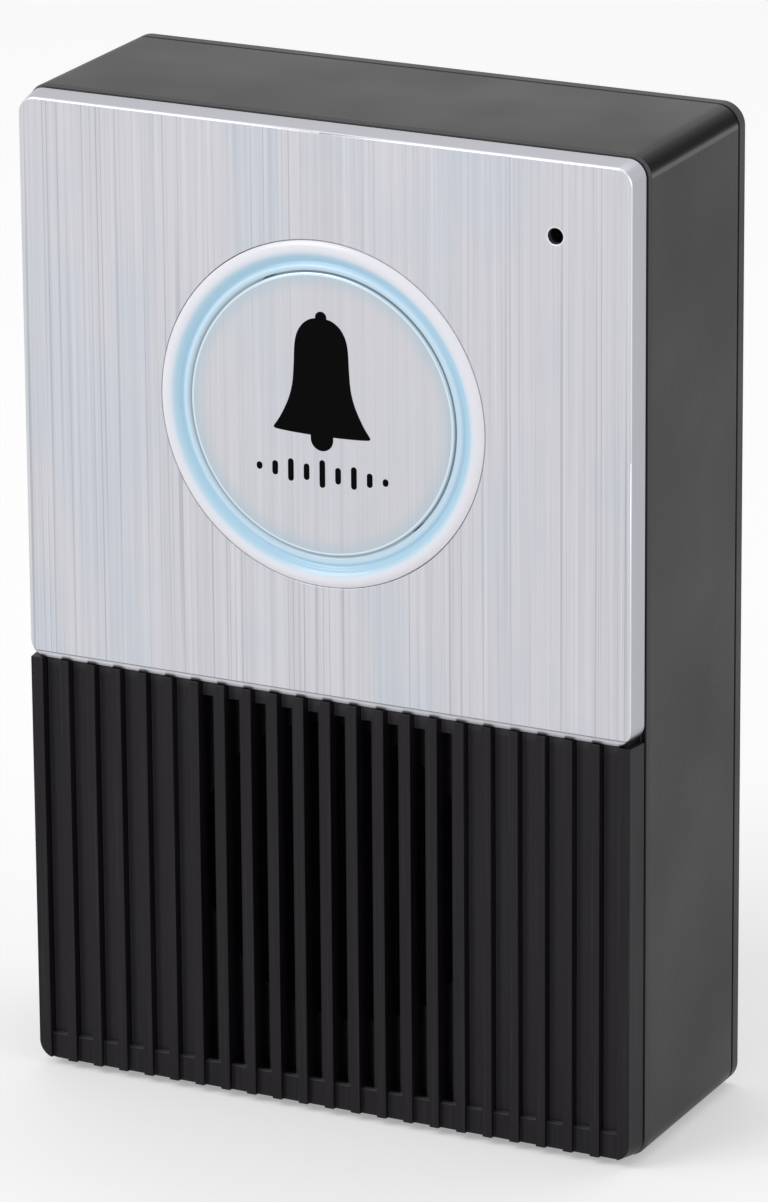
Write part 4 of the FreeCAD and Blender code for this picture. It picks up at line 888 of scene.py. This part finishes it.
# Injection-moulded plastic. The mould's spark-eroded face gives a fine even grain that spreads
# every highlight; shells are ABS with a soft sheen, the inner pieces acetal and nylon from
# smoother moulds.
def mouldedPlastic(name, values, marks=None):
    # colour: two close tones by the grain, then the piece's marks, painted light and shade among
    # them, which also say where the skin is matt
    material, tree, shader, place = startMaterial(name, {
        "IOR": 1.54, "Specular IOR Level": values["gloss"],
    })
    grain = addNode(tree, "ShaderNodeTexNoise", {
        "Scale": 1000 / values["grain"], "Detail": 3.0, "Roughness": 0.6,
    }, {0: place})
    tone = addNode(tree, "ShaderNodeValToRGB", {
        "stops": list(zip(plasticPatch["grainStops"], values["tints"])),
    }, {0: grain.outputs[0]})
    colour, matt = marks(tree, place, tone.outputs[0]) if marks else (tone.outputs[0], None)
    tree.links.new(colour, shader.inputs["Base Color"])
    patches = addNode(tree, "ShaderNodeTexNoise", {
        "Scale": 1000 / plasticPatch["size"], "Detail": 2.0,
    }, {0: place})
    smoother, rougher = (values["roughness"] + change for change in plasticPatch["gloss"])
    rough = addNode(tree, "ShaderNodeMapRange", {
        "From Min": noiseLow, "From Max": noiseHigh, "To Min": smoother, "To Max": rougher,
    }, {0: patches.outputs[0]})
    if matt:
        rough = addNode(tree, "ShaderNodeMix", {3: plasticPatch["matt"]}, {
            0: matt, 2: rough.outputs[0],
        })
    tree.links.new(rough.outputs[0], shader.inputs["Roughness"])
    addNode(tree, "ShaderNodeBump", {"Distance": values["relief"] * mm}, {
        "Height": grain.outputs[0],
    }, {0: shader.inputs["Normal"]})
    return material


housingPlastic = mouldedPlastic("mouldedAbsGrey", plasticSet["housing"], paintedRimLightAndShade)
coverPlastic = mouldedPlastic("mouldedAbsBlack", plasticSet["cover"], grilleMarksAndPaintedLight)
carrierPlastic = mouldedPlastic("mouldedAcetalWhite", plasticSet["carrier"])
switchPlastic = mouldedPlastic("mouldedNylonBlack", plasticSet["switch"])
connectorPlastic = mouldedPlastic("mouldedNylonIvory", plasticSet["connector"])

shellSet = {"coverEdge": 0.10, "housingEdge": 0.12, "wallPlateEdge": 0.15}  # mm, broken edges
for name, node, body, material, slot, edge in (
    ("frontCover", "front_cover", "housing", coverPlastic, "cover_plastic", "coverEdge"),
    ("mainHousing", "main_housing", "housing", housingPlastic, "housing_plastic", "housingEdge"),
    ("wallPlate", "rear_cover", "wall_plate", housingPlastic, "housing_plastic", "wallPlateEdge"),
):
    dressedCopy(name, node, body, material, shellSet[edge] * mm)
print("shells dressed")


# what is inside keeps its CAD shape and gets its real finish; patterns and relief in mm

metalSet = {
    "spring_steel": {
        "name": "drawnSpringSteel", "colour": "#B4B3AE", "roughness": 0.28, "grain": 0.4,
    },
    "tinned_can": {
        "name": "tinPlatedSteel", "colour": "#C6C7C6", "roughness": 0.33, "grain": 1.5,
    },
    "pressed_steel": {
        "name": "zincPlatedSteel", "colour": "#A9ACB0", "roughness": 0.38, "grain": 2.5,
    },
    "screw_steel": {
        "name": "nickelPlatedSteel", "colour": "#B9B5AB", "roughness": 0.25, "grain": 0.6,
    },
}
metalCloud = {"spread": (-0.08, 0.10), "relief": 0.002}  # spread: change of roughness


# Drawn or pressed steel with a plated skin: the crystals of tin, zinc or nickel cloud the sheen,
# so the gloss changes from spot to spot. The grain is the size of those crystals.
def platedMetal(values):
    material, tree, shader, place = startMaterial(values["name"], {
        "Base Color": toLinear(values["colour"]), "Metallic": 1.0,
    })
    cloud = addNode(tree, "ShaderNodeTexNoise", {"Scale": 1000 / values["grain"], "Detail": 4.0}, {
        0: place,
    })
    roughness = (values["roughness"] + change for change in metalCloud["spread"])
    glossAndRelief(tree, shader, cloud.outputs[0], roughness, metalCloud["relief"])
    return material


boardSet = {
    "tints": ((0.1, "#0A4327"), (0.8, "#0E5A34")), "weave": 0.6, "wander": 0.4, "relief": 0.01,
    "roughness": 0.3, "coat": 0.4, "coatRoughness": 0.15,
}


# Glass cloth set in epoxy under a green solder mask: the square weave shows faintly through a
# skin that shines like lacquer.
def circuitBoard(values):
    material, tree, shader, place = startMaterial("solderMaskedGlassCloth", {
        "Roughness": values["roughness"], "Coat Weight": values["coat"],
        "Coat Roughness": values["coatRoughness"],
    })
    weave = crossedThreads(tree, place, values["weave"], values["wander"])
    tintAndRelief(tree, shader, weave, values)
    return material


foamSet = {
    "tints": ((0.0, "#0C0C0C"), (0.5, "#1A1A1A")), "cell": 0.35, "relief": 0.05,
    "roughness": 0.85, "gloss": 0.3,
}


# Closed-cell rubber foam, blown and die-cut: dead matt, pitted by its open cells.
def softFoam(values):
    material, tree, shader, place = startMaterial("closedCellRubber", {
        "Roughness": values["roughness"], "Specular IOR Level": values["gloss"],
    })
    cells = addNode(tree, "ShaderNodeTexVoronoi", {"Scale": 1000 / values["cell"]}, {0: place})
    tintAndRelief(tree, shader, cells.outputs["Distance"], values)
    return material


clothSet = {
    "tints": ((0.05, "#060606"), (0.7, "#171718")), "thread": 0.40, "relief": 0.08,
    "roughness": 0.9, "gloss": 0.2,
}


# Plain-woven polyester that keeps dust out of the speaker: thread over thread, with dark pores
# between. Real threads are 0.12 mm apart, drawn as coarse as they show.
def acousticCloth(values):
    material, tree, shader, place = startMaterial("wovenPolyester", {
        "Roughness": values["roughness"], "Specular IOR Level": values["gloss"],
    })
    tintAndRelief(tree, shader, crossedThreads(tree, place, values["thread"]), values)
    return material


paperSet = {
    "tints": ((0.3, "#201E1C"), (0.7, "#37342F")), "fibre": 0.8, "relief": 0.03,
    "roughness": 0.6,
}


# Pressed paper pulp: felted fibres give it a soft uneven tone and a dry surface.
def pressedPaper(values):
    material, tree, shader, place = startMaterial("pressedPaperPulp", {
        "Roughness": values["roughness"],
    })
    fibres = addNode(tree, "ShaderNodeTexNoise", {
        "Scale": 1000 / values["fibre"], "Detail": 6.0,
    }, {0: place})
    tintAndRelief(tree, shader, fibres.outputs[0], values)
    return material


epoxySet = {"tints": ((0.3, "#EFE3A8"), (0.7, "#F6F2DC")), "cloud": 0.8, "roughness": 0.15}


# Cast epoxy with phosphor under it: glossy, with a yellow cast that changes with its thickness.
def castEpoxy(values):
    material, tree, shader, place = startMaterial("castEpoxy", {
        "Roughness": values["roughness"], "IOR": 1.52,
    })
    cloud = addNode(tree, "ShaderNodeTexNoise", {"Scale": 1000 / values["cloud"]}, {0: place})
    addNode(tree, "ShaderNodeValToRGB", {"stops": values["tints"]}, {0: cloud.outputs[0]}, {
        0: shader.inputs["Base Color"],
    })
    return material


jacketSet = {
    "film": "#2E3237", "band": "#B3764A", "bandStart": 12.0,  # mm along the cells
    "wrinkle": 6.0, "relief": 0.02, "roughness": 0.25, "coat": 0.5, "coatRoughness": 0.1,
}


# Heat-shrunk film round the cells: glossy and lightly puckered, with a copper-coloured band at
# the plus end.
def shrinkJacket(values):
    material, tree, shader, place = startMaterial("shrunkFilmJacket", {
        "Roughness": values["roughness"], "Coat Weight": values["coat"],
        "Coat Roughness": values["coatRoughness"],
    })
    along = addNode(tree, "ShaderNodeSeparateXYZ", None, {0: place})
    end = addNode(tree, "ShaderNodeMath", {
        "operation": "GREATER_THAN", 1: values["bandStart"] * mm,
    }, {0: along.outputs["X"]})
    addNode(tree, "ShaderNodeValToRGB", {
        "stops": ((0.0, values["film"]), (1.0, values["band"])),
    }, {0: end.outputs[0]}, {0: shader.inputs["Base Color"]})
    puckers = addNode(tree, "ShaderNodeTexNoise", {
        "Scale": 1000 / values["wrinkle"], "Detail": 1.0,
    }, {0: place})
    addNode(tree, "ShaderNodeBump", {"Distance": values["relief"] * mm}, {
        "Height": puckers.outputs[0],
    }, {0: shader.inputs["Normal"]})
    return material


finishes = {slot: platedMetal(values) for slot, values in metalSet.items()}
finishes.update({
    "housing_plastic": housingPlastic,
    "cover_plastic": coverPlastic,
    "brushed_aluminium": fasciaMetal,
    "ring_lens": ringPlastic,
    "carrier_plastic": carrierPlastic,
    "switch_plastic": switchPlastic,
    "connector_plastic": connectorPlastic,
    "circuit_board": circuitBoard(boardSet),
    "lamp_epoxy": castEpoxy(epoxySet),
    "seal_rubber": softFoam(foamSet),
    "speaker_cloth": acousticCloth(clothSet),
    "speaker_membrane": pressedPaper(paperSet),
    "cell_jacket": shrinkJacket(jacketSet),
})

springSet = {  # lengths in mm; steps along a turn and round the wire
    "radius": 7.0, "wire": 0.6, "turns": 4, "steps": 64, "around": 12, "travel": 1.0,
}


def coilWire(values, low, high):
    # a round wire carried along a helix round the ring's axis: at the angle a its middle is
    # (radius cos a, from the front end to the rear end as a grows, radius sin a), and its ring
    # lies in the plane of the outward direction and of the one square to that and to the helix
    turns, half = values["turns"], values["wire"] / 2
    angle = np.linspace(0, 2 * math.pi * turns, turns * values["steps"] + 1)[:, None]
    front, rear = low + half, high - half
    rise = (rear - front) / (2 * math.pi * turns)
    outward = np.concatenate([np.cos(angle), np.zeros_like(angle), np.sin(angle)], axis=1)
    middle = values["radius"] * outward + np.concatenate([
        np.zeros_like(angle), front + rise * angle, np.full_like(angle, middleOfRing),
    ], axis=1)
    heading = np.concatenate([
        -values["radius"] * np.sin(angle), np.full_like(angle, rise),
        values["radius"] * np.cos(angle),
    ], axis=1)
    heading /= np.linalg.norm(heading, axis=1, keepdims=True)
    upright = np.cross(heading, outward)
    turn = np.linspace(0, 2 * math.pi, values["around"], endpoint=False)[None, :, None]
    ring = outward[:, None, :] * np.cos(turn) + upright[:, None, :] * np.sin(turn)
    return (middle[:, None, :] + half * ring) * mm


springLow, springHigh = (corner[1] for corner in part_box("button_spring"))
coilPoints = coilWire(springSet, springLow / mm, springHigh / mm)
coilFaces = gridFaces(len(coilPoints), springSet["around"], True)
pushSpring = meshObject("pushSpring", coilPoints, coilFaces)
finish(pushSpring, "housing", finishes["spring_steel"], "button_spring")
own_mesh(pushSpring)
print("return spring wound")

for node in nodes.values():
    for holder in node.material_slots:
        holder.material = finishes[holder.material.name.split(".")[0]]
print("inner pieces finished")


# floor, lamps and background

lightSet = {
    "floorColour": "#E2E2E2",
    "floorRoughness": 0.9,
    "floorGloss": 0.1,
    "floorLift": 0.34,  # added for camera and glossy rays, so that the lit floor is white
    "floorHalf": 4.0,  # metres, half its side
    "floorDrop": 0.3 * mm,  # under the object, so that the two never share a face
    "worldColour": "#FFFFFF",
    "worldStrength": 0.50,
    "lamps": (  # name, place, aimed at, size across and up in metres, power in watts
        ("softKey", (-0.9, -1.1, 1.3), (0.0, 0.0, 0.07), (1.0, 1.0), 12.0),
        ("sideFill", (1.6, -0.3, 0.5), (0.0, 0.0, 0.07), (0.9, 1.2), 5.0),
        ("topStrip", (0.0, 0.5, 1.4), (0.0, 0.0, 0.1), (1.2, 0.5), 3.0),
    ),
}


def seenWhite(tree):
    # 1 for camera, glossy and transmission rays
    path = addNode(tree, "ShaderNodeLightPath")
    seen = path.outputs["Is Camera Ray"]
    for ray in ("Is Glossy Ray", "Is Transmission Ray"):
        either = addNode(tree, "ShaderNodeMath", {"operation": "MAXIMUM"}, {
            0: seen, 1: path.outputs[ray],
        })
        seen = either.outputs[0]
    return seen


# Matt paper, rolled out and plain: it takes a soft shadow and has no pattern.
def paleFloor(values):
    material, tree, shader, _ = startMaterial("palePaperFloor", {
        "Base Color": toLinear(values["floorColour"]), "Roughness": values["floorRoughness"],
        "Specular IOR Level": values["floorGloss"], "Emission Color": toLinear("#FFFFFF"),
    })
    addNode(tree, "ShaderNodeMath", {"operation": "MULTIPLY", 1: values["floorLift"]}, {
        0: seenWhite(tree),
    }, {0: shader.inputs["Emission Strength"]})
    return material


floorCorners = np.array([[-1.0, -1.0], [1.0, -1.0], [1.0, 1.0], [-1.0, 1.0]])
floorGrid = np.column_stack([
    floorCorners * lightSet["floorHalf"], np.full(len(floorCorners), -lightSet["floorDrop"]),
])
floorMesh = bpy.data.meshes.new("floor")
floorMesh.from_pydata(floorGrid.tolist(), [], [[0, 1, 2, 3]])
floorMesh.materials.append(paleFloor(lightSet))
floor = addObject("floor", floorMesh)

for lampName, lampPlace, aim, size, power in lightSet["lamps"]:
    lamp = bpy.data.lights.new(lampName, "AREA")
    lamp.shape = "RECTANGLE"
    lamp.size, lamp.size_y = size
    lamp.energy = power
    holder = addObject(lampName, lamp)
    holder.location = lampPlace
    towards = Vector(aim) - Vector(lampPlace)
    holder.rotation_euler = towards.to_track_quat("-Z", "Y").to_euler()

world = bpy.data.worlds.new("studio")
bpy.context.scene.world = world
world.use_nodes = True
worldTree = world.node_tree
worldTree.nodes.clear()
softWhite = addNode(worldTree, "ShaderNodeBackground", {
    "Color": toLinear(lightSet["worldColour"]), "Strength": lightSet["worldStrength"],
})
plainWhite = addNode(worldTree, "ShaderNodeBackground", {"Color": toLinear("#FFFFFF")})
chosen = addNode(worldTree, "ShaderNodeMixShader", None, {
    0: seenWhite(worldTree), 1: softWhite.outputs[0], 2: plainWhite.outputs[0],
})
addNode(worldTree, "ShaderNodeOutputWorld", None, {"Surface": chosen.outputs[0]})
bpy.context.scene.view_settings.view_transform = "Standard"
print("studio lit")
